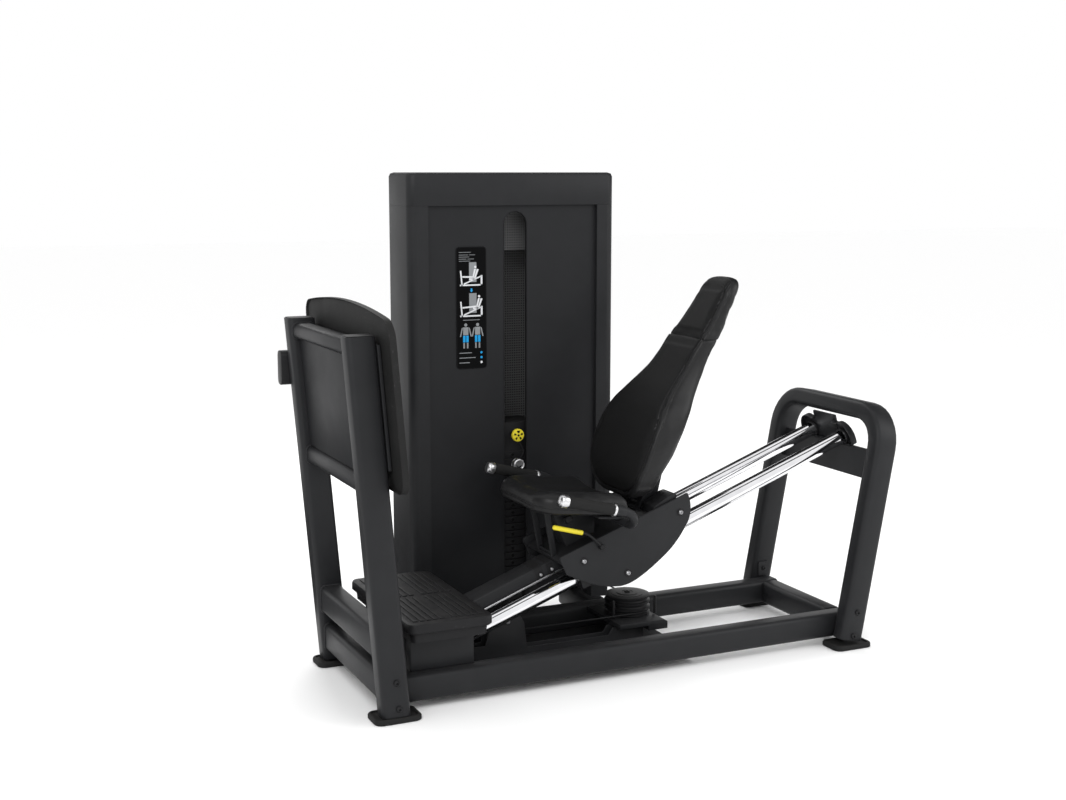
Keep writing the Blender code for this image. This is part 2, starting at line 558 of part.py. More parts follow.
def stack():
    """Resting plates, the selected plate and head that rise, the pin, the dial and the guide rods."""
    y0, y1 = STACK_Y
    half = STACK_W / 2
    full = plate_outline(half, y0, y1)
    waist = plate_outline(half - 0.002, y0 + 0.002, y1 - 0.002)
    groove = 0.0012
    rings = []
    for i in range(REST_PLATES):
        z = STACK_Z0 + i * PLATE_PITCH
        bottom = z if i == 0 else z + groove
        top = z + PLATE_PITCH - (GAP if i == REST_PLATES - 1 else groove)
        rings += [[at(x, y, h) for x, y in full] for h in (bottom, top)]
        if i < REST_PLATES - 1:
            rings += [[at(x, y, z + PLATE_PITCH + dz) for x, y in waist] for dz in (-groove * 0.5, groove * 0.5)]
    add("resting_weight_plates", loft(rings), "cast_plate", smooth=False)
    hole_z = SELECTED_Z + PLATE_PITCH / 2
    rings = [[at(x, y, z) for x, y in full] for z in (SELECTED_Z, SELECTED_Z + PLATE_PITCH - GAP)]
    chosen = add("selected_weight_plate", loft(rings), "cast_plate", smooth=False)
    bore = turned([(0.0056, -0.010), (0.0056, 0.034)], at(STACK_X, y0, hole_z), Vector((0, 1, 0)), 12)
    join(chosen, bore, "DIFFERENCE")
    pin = [(0.0050, 0.030), (0.0050, -0.022), (0.0105, -0.024), (0.0105, -0.030), (0.0200, -0.034),
           (0.0215, -0.040), (0.0215, -0.052), (0.0190, -0.058)]
    add("selector_pin", turned(pin, at(STACK_X, y0, hole_z), Vector((0, 1, 0)), 20), "satin_aluminium")

    head_z0 = SELECTED_Z + PLATE_PITCH
    rings = [[at(x, y, z) for x, y in full] for z in (head_z0, head_z0 + PLATE_PITCH)]
    head = add("head_plate", loft(rings), "cast_plate", smooth=False)
    low = (STACK_X - 0.095, y0 + 0.005, head_z0 + PLATE_PITCH - 0.005)
    join(head, box(low, (STACK_X + 0.095, y1 - 0.020, HEAD_Z1)), "UNION")
    dial_y = y0 + 0.005
    dial = [(0.0080, -GAP), (0.0080, -0.040), (0.0200, -0.040), (0.0225, -0.043), (0.0225, -0.054), (0.0205, -0.057)]
    add("increment_dial", turned(dial, at(STACK_X, dial_y, 0.707), Vector((0, 1, 0)), 24), "yellow_plastic")
    for side, sign in (("left", -1), ("right", 1)):
        x = STACK_X + sign * (half - 0.028)
        middle = (y0 + y1) / 2
        path = [at(x, middle, TOWER_Z0 + GAP), at(x, middle, TOP_PULLEY_Z + 0.030)]
        add(side + "_stack_guide_rod", sweep(circle(GUIDE_ROD_R, 12), path, Vector((0, 1, 0))), "chrome")


# --------------------------------------------------------------------------------- carriage
def pull_beam():
    """The beam between the rods, with the cable's anchor lug and a short hanging stay below."""
    middle = sum(BEAM_H) / 2
    path = [on_slope(x, middle) for x in BEAM_X]
    section = rounded_rect(2 * BEAM_Y, BEAM_H[1] - BEAM_H[0], 0.008)
    beam = add("pull_beam", sweep(section, path, ACROSS), "powder_coat")
    anchor = at(*FRONT_PULLEY) + ACROSS * (FRONT_PULLEY_R - GROOVE) + SLOPE * 0.090
    lug = sweep(rounded_rect(0.030, 0.056, 0.006), [anchor + ACROSS * 0.012, anchor + ACROSS * 0.012 + SLOPE * 0.050], ACROSS)
    join(beam, lug, "UNION")
    stay = [(-0.058, 0.212), (0.004, 0.208), (0.016, 0.405), (-0.050, 0.385)]
    join(beam, prism(stay, -0.030, 0.030), "UNION")


def side_plate_outline():
    """Straight along the top, cut off at the rear, and swept round below."""
    return [(-0.222, 0.3945), (-0.228, 0.380), (-0.2035, 0.3325), (-0.120, 0.2950), (-0.0645, 0.2785), (-0.030, 0.2740),
            (0.0013, 0.2735), (0.0364, 0.2821), (0.0832, 0.3065), (0.1303, 0.3386), (0.1776, 0.3762), (0.2130, 0.4154),
            (0.2366, 0.4505), (0.2483, 0.4708), (0.2555, 0.5023), (0.2535, 0.5350), (0.2420, 0.5630)]


def carriage():
    """Side plates, the saddle over the pull beam, and a bearing block on each rod."""
    outline = side_plate_outline()
    for side, sign in SIDES:
        y0, y1 = sorted(sign * y for y in SIDE_Y)
        add(side + "_side_plate", prism(outline, y0, y1), "powder_coat", smooth=False)
        y_in, y_out = 0.0500, SIDE_Y[0] - GAP
        path = [on_slope(x, 0.004, sign * (y_in + y_out) / 2) for x in (-0.150, 0.205)]
        block = add(side + "_bearing_block", sweep(rounded_rect(y_out - y_in, 0.072, 0.008), path, ACROSS), "black_plastic")
        bore = [on_slope(x, 0, sign * ROD_Y) for x in (-0.200, 0.255)]
        join(block, sweep(circle(ROD_R + 0.0006, 24), bore, ACROSS), "DIFFERENCE")
    reach = SIDE_Y[0] - GAP
    low, high = BEAM_H[1] + 0.002, BEAM_H[1] + 0.014
    ends = [slope_xz(-0.185, low), slope_xz(0.225, low), slope_xz(0.225, high), slope_xz(-0.185, high)]
    saddle = add("carriage_saddle", prism(ends, -reach, reach), "powder_coat", smooth=False)
    support = [slope_xz(-0.120, high - 0.004), slope_xz(-0.020, high - 0.004), (-0.045, seat_under(-0.045) - 0.0005),
               (-0.215, seat_under(-0.215) - 0.0005)]
    join(saddle, prism(support, -0.035, 0.035), "UNION")


def seat_under(x):
    """Underside of the seat pad: it falls gently to the rear."""
    return 0.548 - 0.105 * (x + 0.330)


def seat():
    """The seat pad: a flat rounded slab, round at the front."""
    thick = 0.066
    outline = [(-0.330, -0.110), (-0.330, 0.110)] + [(x, y) for x, y in arc((-0.240, 0.110), 0.090, 150, 90, 3)]
    outline += [(0.010, 0.200), (0.010, -0.200)] + [(x, y) for x, y in arc((-0.240, -0.110), 0.090, 270, 210, 3)]
    rings = []
    for lift, inset in ((0, 0.012), (0.010, 0), (thick - 0.014, 0), (thick, 0.014)):
        ring = []
        for x, y in outline:
            ex = -0.160 + (x + 0.160) * (1 - inset / 0.170)
            ey = y * (1 - inset / 0.200)
            ring.append(at(ex, ey, seat_under(ex) + lift))
        rings.append(ring)
    add("seat_pad", loft(rings), "vinyl")


# height, x of the front face, half width, depth front to back
BACK_STATIONS = ((0.544, 0.056, 0.075, 0.050), (0.556, 0.042, 0.115, 0.075), (0.580, 0.034, 0.155, 0.096),
                 (0.615, 0.034, 0.184, 0.106), (0.650, 0.038, 0.200, 0.113), (0.700, 0.051, 0.211, 0.124),
                 (0.750, 0.068, 0.213, 0.131), (0.800, 0.091, 0.208, 0.134), (0.850, 0.123, 0.193, 0.131),
                 (0.900, 0.167, 0.165, 0.120), (0.950, 0.216, 0.143, 0.104), (1.000, 0.257, 0.130, 0.092),
                 (1.068, 0.306, 0.122, 0.081))
HEAD_STATIONS = ((1.070, 0.308, 0.122, 0.078), (1.150, 0.362, 0.110, 0.072), (1.220, 0.412, 0.096, 0.064),
                 (1.252, 0.438, 0.078, 0.052), (1.268, 0.454, 0.052, 0.034))


def pad(name, stations, slot):
    """An upright cushion through level rings."""
    rings = []
    for z, x, half, deep in stations:
        section = rounded_rect(deep, 2 * half, min(0.022, deep * 0.32))
        rings.append([at(x + deep / 2 + a, b, z) for a, b in section])
    add(name, loft(rings), slot)


def back_rest():
    """Back cushion, headrest, and the post that carries them on the saddle."""
    pad("back_pad", BACK_STATIONS, "seat_fabric")
    pad("headrest_pad", HEAD_STATIONS, "seat_fabric")
    lift = BEAM_H[1] + 0.0145
    post = [slope_xz(0.140, lift), slope_xz(0.215, lift), (0.212, 0.640), (0.240, 0.720), (0.322, 0.905), (0.304, 0.905),
            (0.227, 0.770), (0.199, 0.700), (0.168, 0.640), (0.144, 0.565)]
    add("back_post", prism(post, -0.040, 0.040), "powder_coat", smooth=False)


def handles():
    """One tube: from the near grip back, down and across under the seat, and forward to the far grip."""
    drop = sin(radians(14.2)) / cos(radians(14.2))
    tip_x, tip_z = -0.301, 0.618

    def along(x, y):
        return at(x, y, tip_z - (x - tip_x) * drop)

    start, end = along(-0.075, HANDLE_Y), at(HANDLE_X, 0.215, HANDLE_LOW)
    pull_start, pull_end = along(-0.028, HANDLE_Y), at(HANDLE_X, 0.268, HANDLE_LOW)
    bend = []
    for i in range(11):
        t = i / 10
        bend.append(start * (1 - t) ** 3 + pull_start * 3 * t * (1 - t) ** 2 + pull_end * 3 * t * t * (1 - t) + end * t ** 3)
    half = [along(tip_x, HANDLE_Y)] + bend
    mirrored = [Vector((p.x, 2 * MID_Y - p.y, p.z)) for p in reversed(half)]
    add("handle_bar", sweep(circle(HANDLE_R, 16), half + mirrored, Vector((0, 0, 1))), "powder_coat")
    for side, sign in SIDES:
        y = sign * HANDLE_Y
        start, end = along(tip_x + 0.028, y), along(tip_x + 0.185, y)
        grip = add(side + "_grip", sweep(circle(0.0182, 16), [start, end], Vector((0, 0, 1))), "rubber")
        reach = (end - start) * 0.1
        join(grip, sweep(circle(HANDLE_R + 0.0004, 16), [start - reach, end + reach], Vector((0, 0, 1))), "DIFFERENCE")


def seat_lever():
    """The release lever on the near side plate: a bent rod with a long grip."""
    y = -SIDE_Y[1] - 0.012
    points = [at(-0.084, y, 0.416), at(-0.122, y, 0.452), at(-0.146, y, 0.468), at(-0.258, y, 0.499)]
    lever = add("seat_lever", sweep(circle(0.0055, 10), points, Vector((0, 1, 0))), "yellow_plastic")
    boss = turned([(0.011, -0.0117), (0.011, 0.008)], points[0], Vector((0, -1, 0)), 16)
    join(lever, boss, "UNION")


def lanyard():
    """The short cord that ties the selector pin to the dial."""
    y0 = STACK_Y[0]
    hole_z = SELECTED_Z + PLATE_PITCH / 2
    points = [at(STACK_X + 0.006, y0 - 0.032, 0.6835), at(STACK_X + 0.016, y0 - 0.040, 0.666),
              at(STACK_X + 0.020, y0 - 0.044, 0.650), at(STACK_X + 0.016, y0 - 0.046, 0.636),
              at(STACK_X + 0.008, y0 - 0.046, hole_z + 0.0235)]
    cable_solid("lanyard", points)


def main():
    for obj in list(bpy.data.objects):
        bpy.data.objects.remove(obj)
    base_frame()
    foot_rest()
    rear_hoop()
    guide_rods()
    step()
    base_pulleys()
    cables()
    tower()
    stack()
    lanyard()
    pull_beam()
    carriage()
    seat()
    back_rest()
    handles()
    seat_lever()


main()
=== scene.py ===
"""The finished look of a seated leg press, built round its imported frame.

Every place is in the machine's own frame.  `spot(x, y, z)` measures x and y from the vertical
line in the seat's middle plane that the frame was drawn from.
"""
import bpy
import bmesh
from math import cos, exp, hypot, pi, radians, sin, sqrt, tan
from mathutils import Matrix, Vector
import json


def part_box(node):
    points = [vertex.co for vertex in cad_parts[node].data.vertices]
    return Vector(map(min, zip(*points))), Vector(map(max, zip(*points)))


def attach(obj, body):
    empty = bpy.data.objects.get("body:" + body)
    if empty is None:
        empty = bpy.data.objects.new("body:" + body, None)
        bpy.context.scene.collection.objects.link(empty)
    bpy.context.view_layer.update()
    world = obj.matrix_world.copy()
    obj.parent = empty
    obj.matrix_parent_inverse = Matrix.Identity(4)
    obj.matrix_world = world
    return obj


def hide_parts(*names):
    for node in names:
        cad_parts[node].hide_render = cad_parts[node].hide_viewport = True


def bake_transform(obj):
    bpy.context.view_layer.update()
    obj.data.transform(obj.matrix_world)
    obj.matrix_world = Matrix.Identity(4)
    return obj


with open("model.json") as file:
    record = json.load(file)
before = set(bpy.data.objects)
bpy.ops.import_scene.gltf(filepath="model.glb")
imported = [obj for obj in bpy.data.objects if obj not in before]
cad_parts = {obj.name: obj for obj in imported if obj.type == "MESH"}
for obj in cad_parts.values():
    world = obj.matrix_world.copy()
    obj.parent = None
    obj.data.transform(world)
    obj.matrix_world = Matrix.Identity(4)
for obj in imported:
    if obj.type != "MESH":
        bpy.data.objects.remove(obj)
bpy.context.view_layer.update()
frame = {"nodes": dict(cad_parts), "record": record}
record = frame["record"]

BODY_OF = {node: body for body, nodes in record["behaviour"]["bodies"].items() for node in nodes}
SLOT_OF = {entry["node"]: entry["material_slot"] for entry in record["subparts"]}

X, Y, Z = Vector((1, 0, 0)), Vector((0, 1, 0)), Vector((0, 0, 1))
SIDES = (("near", -1), ("far", 1))


def box_of(node):
    """A node's lowest and highest corners as vectors."""
    low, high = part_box(node)
    return Vector(low), Vector(high)


# ------------------------------------------------------------------------ places and sizes
SEAT_LOW, SEAT_HIGH = box_of("seat_pad")
STEP_LOW, STEP_HIGH = box_of("step_cover")
MID_Y = (SEAT_LOW.y + SEAT_HIGH.y) / 2
MID_X = STEP_LOW.x + 0.800

ROD_ANGLE = radians(20.5)
ROD_X, ROD_Z = 0.244, 0.4493
ROD_R = 0.025
ROD_Y = 0.090
SLOPE = Vector((cos(ROD_ANGLE), 0, sin(ROD_ANGLE)))
ACROSS = Vector((-sin(ROD_ANGLE), 0, cos(ROD_ANGLE)))

UPRIGHT_X0, UPRIGHT_LEAN = -0.853, -0.0818
HOOP_X0, HOOP_LEAN = 0.799, radians(10.2)
LEG_Y = 0.299
HOOP_Y, HOOP_THIN = 0.293, 0.062
TUBE_DEEP, TUBE_THIN = 0.090, 0.070


def spot(x, y, z):
    """A place measured from the frame's drawing line."""
    return Vector((MID_X + x, MID_Y + y, z))


def slope_xz(x, lift):
    """(x, z) of the point `lift` above the guide rods' centre line, at its place x."""
    z = ROD_Z + (x - ROD_X) * tan(ROD_ANGLE)
    return x + ACROSS.x * lift, z + ACROSS.z * lift


def on_slope(x, lift, y=0.0):
    """The same point as a place, `y` away from the middle plane."""
    place_x, place_z = slope_xz(x, lift)
    return spot(place_x, y, place_z)


def upright_x(z, offset=0.0):
    """x of the uprights' centre line at a height."""
    return UPRIGHT_X0 + UPRIGHT_LEAN * z + offset


def hoop_x(z, offset=0.0):
    """x of the hoop's centre line at a height."""
    return HOOP_X0 + z * tan(HOOP_LEAN) + offset


def new_object(name, data):
    """An object for a mesh, light, curve or camera, linked to the scene."""
    obj = bpy.data.objects.new(name, data)
    bpy.context.collection.objects.link(obj)
    return obj


def mesh_from(name, mesh_bm):
    """A mesh from a bmesh, which is dropped."""
    mesh = bpy.data.meshes.new(name)
    mesh_bm.to_mesh(mesh)
    mesh_bm.free()
    return mesh


# ------------------------------------------------------------------------ camera and studio
CAMERA_TILT, CAMERA_TURN = radians(90 - 8.72), radians(-24.8)


def camera():
    """Standing at the foot plate's end, on the near side, looking slightly down."""
    data = bpy.data.cameras.new("camera")
    data.lens = 50
    data.sensor_width = 36
    obj = new_object("camera", data)
    obj.location = spot(-2.256, -4.324, 1.620)
    obj.rotation_euler = (CAMERA_TILT, 0, CAMERA_TURN)
    bpy.context.scene.camera = obj


def facing(place, target):
    """The rotation that points an object's -Z from `place` to `target`."""
    return (target - place).to_track_quat("-Z", "Y").to_euler()


def soft_box(name, place, target, size, watts):
    """A square area light facing a point."""
    data = bpy.data.lights.new(name, "AREA")
    data.size = size
    data.energy = watts
    obj = new_object(name, data)
    obj.location = place
    obj.rotation_euler = facing(place, target)


def staged_sheet(name, size, material):
    """A flat square that belongs to the studio, not to the machine."""
    sheet_bm = bmesh.new()
    bmesh.ops.create_grid(sheet_bm, x_segments=1, y_segments=1, size=size)
    sheet = new_object(name, mesh_from(name, sheet_bm))
    sheet.data.materials.append(material)
    return sheet


def dark_card(name, place, target, size):
    """A black card that only reflections see, as set beside polished metal in a studio."""
    card = staged_sheet(name, 0.5, plain_material(name, (0.004, 0.004, 0.004), 1.0))
    card.location = place
    card.scale = (size[0], size[1], 1)
    card.rotation_euler = facing(place, target)
    card.visible_camera = card.visible_diffuse = card.visible_shadow = False


def studio():
    """A white floor under an even sky, three soft boxes, and dark cards for the chrome to reflect."""
    floor = staged_sheet("floor", 30, plain_material("studio_floor", (0.99, 0.99, 0.99), 1.0))
    floor.location.z = -0.0005
    world = bpy.data.worlds.new("studio")
    world.use_nodes = True
    background = world.node_tree.nodes["Background"]
    background.inputs["Color"].default_value = (1, 1, 1, 1)
    background.inputs["Strength"].default_value = 1.0
    bpy.context.scene.world = world
    bpy.context.scene.view_settings.view_transform = "Standard"
    middle = Vector((0, 0, 0.6))
    soft_box("key_light", Vector((-3.0, -3.4, 4.2)), middle, 2.6, 90)
    soft_box("fill_light", Vector((3.6, -2.6, 2.8)), middle, 2.6, 50)
    soft_box("back_light", Vector((0.5, 3.8, 3.6)), middle, 2.4, 80)
    dark_card("card_above", Vector((1.8, 2.2, 3.4)), middle, (10.0, 4.4))
    dark_card("card_low", Vector((1.5, 1.9, 0.003)), Vector((1.5, 1.9, 1.0)), (8.0, 2.6))
    dark_card("card_over", Vector((-0.4, -1.6, 4.6)), middle, (6.0, 1.0))


# ------------------------------------------------------------------------ shader groups
class Tree:
    """Short calls for adding and joining nodes in one tree."""

    def __init__(self, tree):
        self.tree = tree

    def node(self, kind, **settings):
        made = self.tree.nodes.new(kind)
        for key, value in settings.items():
            setattr(made, key, value)
        return made

    def link(self, source, target):
        self.tree.links.new(source, target)

    def math(self, operation, one, two=None):
        """One math node; each side is a socket or a number."""
        made = self.node("ShaderNodeMath", operation=operation)
        for i, value in enumerate((one, two)):
            if value is None:
                continue
            if isinstance(value, (int, float)):
                made.inputs[i].default_value = value
            else:
                self.link(value, made.inputs[i])
        return made.outputs[0]

    def noise(self, vector, scale, detail=2.0, rough=0.5):
        made = self.node("ShaderNodeTexNoise")
        self.link(vector, made.inputs["Vector"])
        if isinstance(scale, (int, float)):
            made.inputs["Scale"].default_value = scale
        else:
            self.link(scale, made.inputs["Scale"])
        made.inputs["Detail"].default_value = detail
        made.inputs["Roughness"].default_value = rough
        return made.outputs["Fac"]

    def remap(self, value, low, high, to_low, to_high):
        made = self.node("ShaderNodeMapRange")
        self.link(value, made.inputs["Value"])
        for key, number in zip(("From Min", "From Max", "To Min", "To Max"), (low, high, to_low, to_high)):
            made.inputs[key].default_value = number
        return made.outputs["Result"]


def shader_group(name, inputs, outputs, fill):
    """A named shader group; `fill(tree, ins, outs)` builds what is inside."""
    tree = bpy.data.node_groups.new(name, "ShaderNodeTree")
    tree.interface.new_socket("Vector", in_out="INPUT", socket_type="NodeSocketVector")
    for label, value in inputs.items():
        socket = tree.interface.new_socket(label, in_out="INPUT", socket_type="NodeSocketFloat")
        socket.default_value = value
    for label in outputs:
        tree.interface.new_socket(label, in_out="OUTPUT", socket_type="NodeSocketFloat")
    ins = tree.nodes.new("NodeGroupInput").outputs
    outs = tree.nodes.new("NodeGroupOutput").inputs
    fill(Tree(tree), ins, outs)
    return tree


def fill_coat_grain(t, ins, outs):
    """Powder coat: a fine pebble, and a slow change of shade."""
    fine = t.noise(ins["Vector"], ins["Scale"], 2.0, 0.6)
    t.link(fine, outs["Height"])
    slow = t.noise(ins["Vector"], 7.0, 3.0, 0.6)
    t.link(t.remap(slow, 0.3, 0.7, 0.0, 1.0), outs["Mottle"])


def fill_hide_grain(t, ins, outs):
    """Upholstery vinyl: small closed pebbles with fine creases between them."""
    cells = t.node("ShaderNodeTexVoronoi", feature="DISTANCE_TO_EDGE")
    t.link(ins["Vector"], cells.inputs["Vector"])
    t.link(ins["Scale"], cells.inputs["Scale"])
    pebble = t.remap(cells.outputs["Distance"], 0.0, 0.18, 0.0, 1.0)
    broad = t.noise(ins["Vector"], 30.0, 2.0)
    t.link(t.math("ADD", t.math("MULTIPLY", pebble, 0.7), t.math("MULTIPLY", broad, 0.3)), outs["Height"])
    t.link(broad, outs["Mottle"])


def fill_weave(t, ins, outs):
    """Embossed cloth: a diagonal lattice of small raised knots."""
    axes = t.node("ShaderNodeSeparateXYZ")
    t.link(ins["Vector"], axes.inputs[0])
    across = t.math("MULTIPLY", axes.outputs["Y"], ins["Scale"])
    up = t.math("MULTIPLY", axes.outputs["Z"], ins["Scale"])
    one = t.math("SINE", t.math("ADD", across, up))
    two = t.math("SINE", t.math("SUBTRACT", across, up))
    knot = t.math("MULTIPLY", one, two)
    t.link(t.remap(knot, -0.4, 0.7, 0.0, 1.0), outs["Height"])
    t.link(t.noise(ins["Vector"], 18.0, 2.0), outs["Mottle"])


def fill_scuffs(t, ins, outs):
    """Where shoes and hands have rubbed: thin pale streaks inside broad patches."""
    stretch = t.node("ShaderNodeMapping")
    stretch.inputs["Scale"].default_value = (1.0, 0.12, 1.0)
    t.link(ins["Vector"], stretch.inputs["Vector"])
    streak = t.noise(stretch.outputs[0], 140.0, 3.0, 0.7)
    patch = t.noise(ins["Vector"], 5.0, 2.0)
    streak = t.remap(streak, 0.62, 0.78, 0.0, 1.0)
    patch = t.remap(patch, 0.45, 0.65, 0.0, 1.0)
    t.link(t.math("MULTIPLY", t.math("MULTIPLY", streak, patch), ins["Amount"]), outs["Mask"])


def fill_painted_top_light(t, ins, outs):
    """Lightens what faces up, in patches: painted light falling on the tops, with settled dust."""
    geometry = t.node("ShaderNodeNewGeometry")
    axes = t.node("ShaderNodeSeparateXYZ")
    t.link(geometry.outputs["Normal"], axes.inputs[0])
    facing = t.remap(axes.outputs["Z"], 0.6, 1.0, 0.0, 1.0)
    patch = t.remap(t.noise(ins["Vector"], 22.0, 4.0, 0.65), 0.35, 0.75, 0.2, 1.0)
    t.link(t.math("MULTIPLY", t.math("MULTIPLY", facing, patch), ins["Amount"]), outs["Mask"])


GROUPS = {
    "coat": shader_group("coat_grain", {"Scale": 900.0}, ("Height", "Mottle"), fill_coat_grain),
    "hide": shader_group("hide_grain", {"Scale": 420.0}, ("Height", "Mottle"), fill_hide_grain),
    "weave": shader_group("cloth_weave", {"Scale": 1400.0}, ("Height", "Mottle"), fill_weave),
    "scuffs": shader_group("rub_marks", {"Amount": 0.3}, ("Mask",), fill_scuffs),
    "top_light_and_dust": shader_group("painted_top_light_and_dust", {"Amount": 0.1}, ("Mask",), fill_painted_top_light),
}


# ------------------------------------------------------------------------ finishes
def new_material(name):
    """A material, its tree and its shader."""
    material = bpy.data.materials.new(name)
    material.use_nodes = True
    shader = material.node_tree.nodes["Principled BSDF"]
    return material, Tree(material.node_tree), shader


def plain_material(name, colour, rough):
    """One even colour."""
    material, _, shader = new_material(name)
    shader.inputs["Base Color"].default_value = (*colour, 1)
    shader.inputs["Roughness"].default_value = rough
    return material


def place_group(t, key, **values):
    """One of the shared groups, fed with Object coordinates."""
    made = t.node("ShaderNodeGroup", node_tree=GROUPS[key])
    coordinates = t.node("ShaderNodeTexCoord")
    t.link(coordinates.outputs["Object"], made.inputs["Vector"])
    for label, value in values.items():
        made.inputs[label].default_value = value
    return made.outputs


def mix_colour(t, factor, one, two):
    """Colour between two values or sockets."""
    made = t.node("ShaderNodeMix", data_type="RGBA")
    t.link(factor, made.inputs["Factor"])
    for key, value in (("A", one), ("B", two)):
        socket = [s for s in made.inputs if s.name == key and s.type == "RGBA"][0]
        if isinstance(value, tuple):
            socket.default_value = (*value, 1)
        else:
            t.link(value, socket)
    return [s for s in made.outputs if s.type == "RGBA"][0]


def bump(t, shader, height, strength, distance):
    """Relief on the shader's normal from a height value."""
    made = t.node("ShaderNodeBump")
    made.inputs["Strength"].default_value = strength
    made.inputs["Distance"].default_value = distance
    t.link(height, made.inputs["Height"])
    t.link(made.outputs["Normal"], shader.inputs["Normal"])


def grained(name, dark, light, rough, grain="coat", scale=900.0, strength=0.2, distance=0.0004,
            top_light_and_dust=0.0, scuffs=0.0, metal=0.0, coat=0.0, shine=0.18):
    """A surface with a grain, a slow random change of tone, optional painted top light with dust, and optional rub
    marks.
    """
    material, t, shader = new_material(name)
    shader.inputs["Metallic"].default_value = metal
    shader.inputs["Specular IOR Level"].default_value = shine
    shader.inputs["Coat Weight"].default_value = coat
    shader.inputs["Coat Roughness"].default_value = 0.25
    outs = place_group(t, grain, Scale=scale)
    colour = mix_colour(t, outs["Mottle"], dark, light)
    if scuffs:
        colour = mix_colour(t, place_group(t, "scuffs", Amount=scuffs)["Mask"], colour, (0.16, 0.16, 0.16))
    # painted light: faces that look up are mixed towards pale grey in patches, a painted top light together with
    # settled dust
    if top_light_and_dust:
        colour = mix_colour(t, place_group(t, "top_light_and_dust", Amount=top_light_and_dust)["Mask"], colour, (0.22, 0.21, 0.20))
    t.link(colour, shader.inputs["Base Color"])
    t.link(t.remap(outs["Mottle"], 0.0, 1.0, rough[0], rough[1]), shader.inputs["Roughness"])
    bump(t, shader, outs["Height"], strength, distance)
    return material


def metal_finish(name, colour, rough, streak_scale, strength=0.05):
    """Bare or plated metal with faint polishing marks and handling smudges."""
    material, t, shader = new_material(name)
    shader.inputs["Metallic"].default_value = 1.0
    coordinates = t.node("ShaderNodeTexCoord")
    stretch = t.node("ShaderNodeMapping")
    stretch.inputs["Scale"].default_value = streak_scale
    t.link(coordinates.outputs["Object"], stretch.inputs["Vector"])
    streaks = t.noise(stretch.outputs[0], 1.0, 3.0, 0.6)
    smudge = t.noise(coordinates.outputs["Object"], 14.0, 3.0, 0.6)
    dull = tuple(c * 0.90 for c in colour)
    t.link(mix_colour(t, t.remap(smudge, 0.4, 0.7, 0.0, 1.0), colour, dull), shader.inputs["Base Color"])
    t.link(t.remap(smudge, 0.35, 0.75, rough[0], rough[1]), shader.inputs["Roughness"])
    bump(t, shader, streaks, strength, 0.0002)
    return material


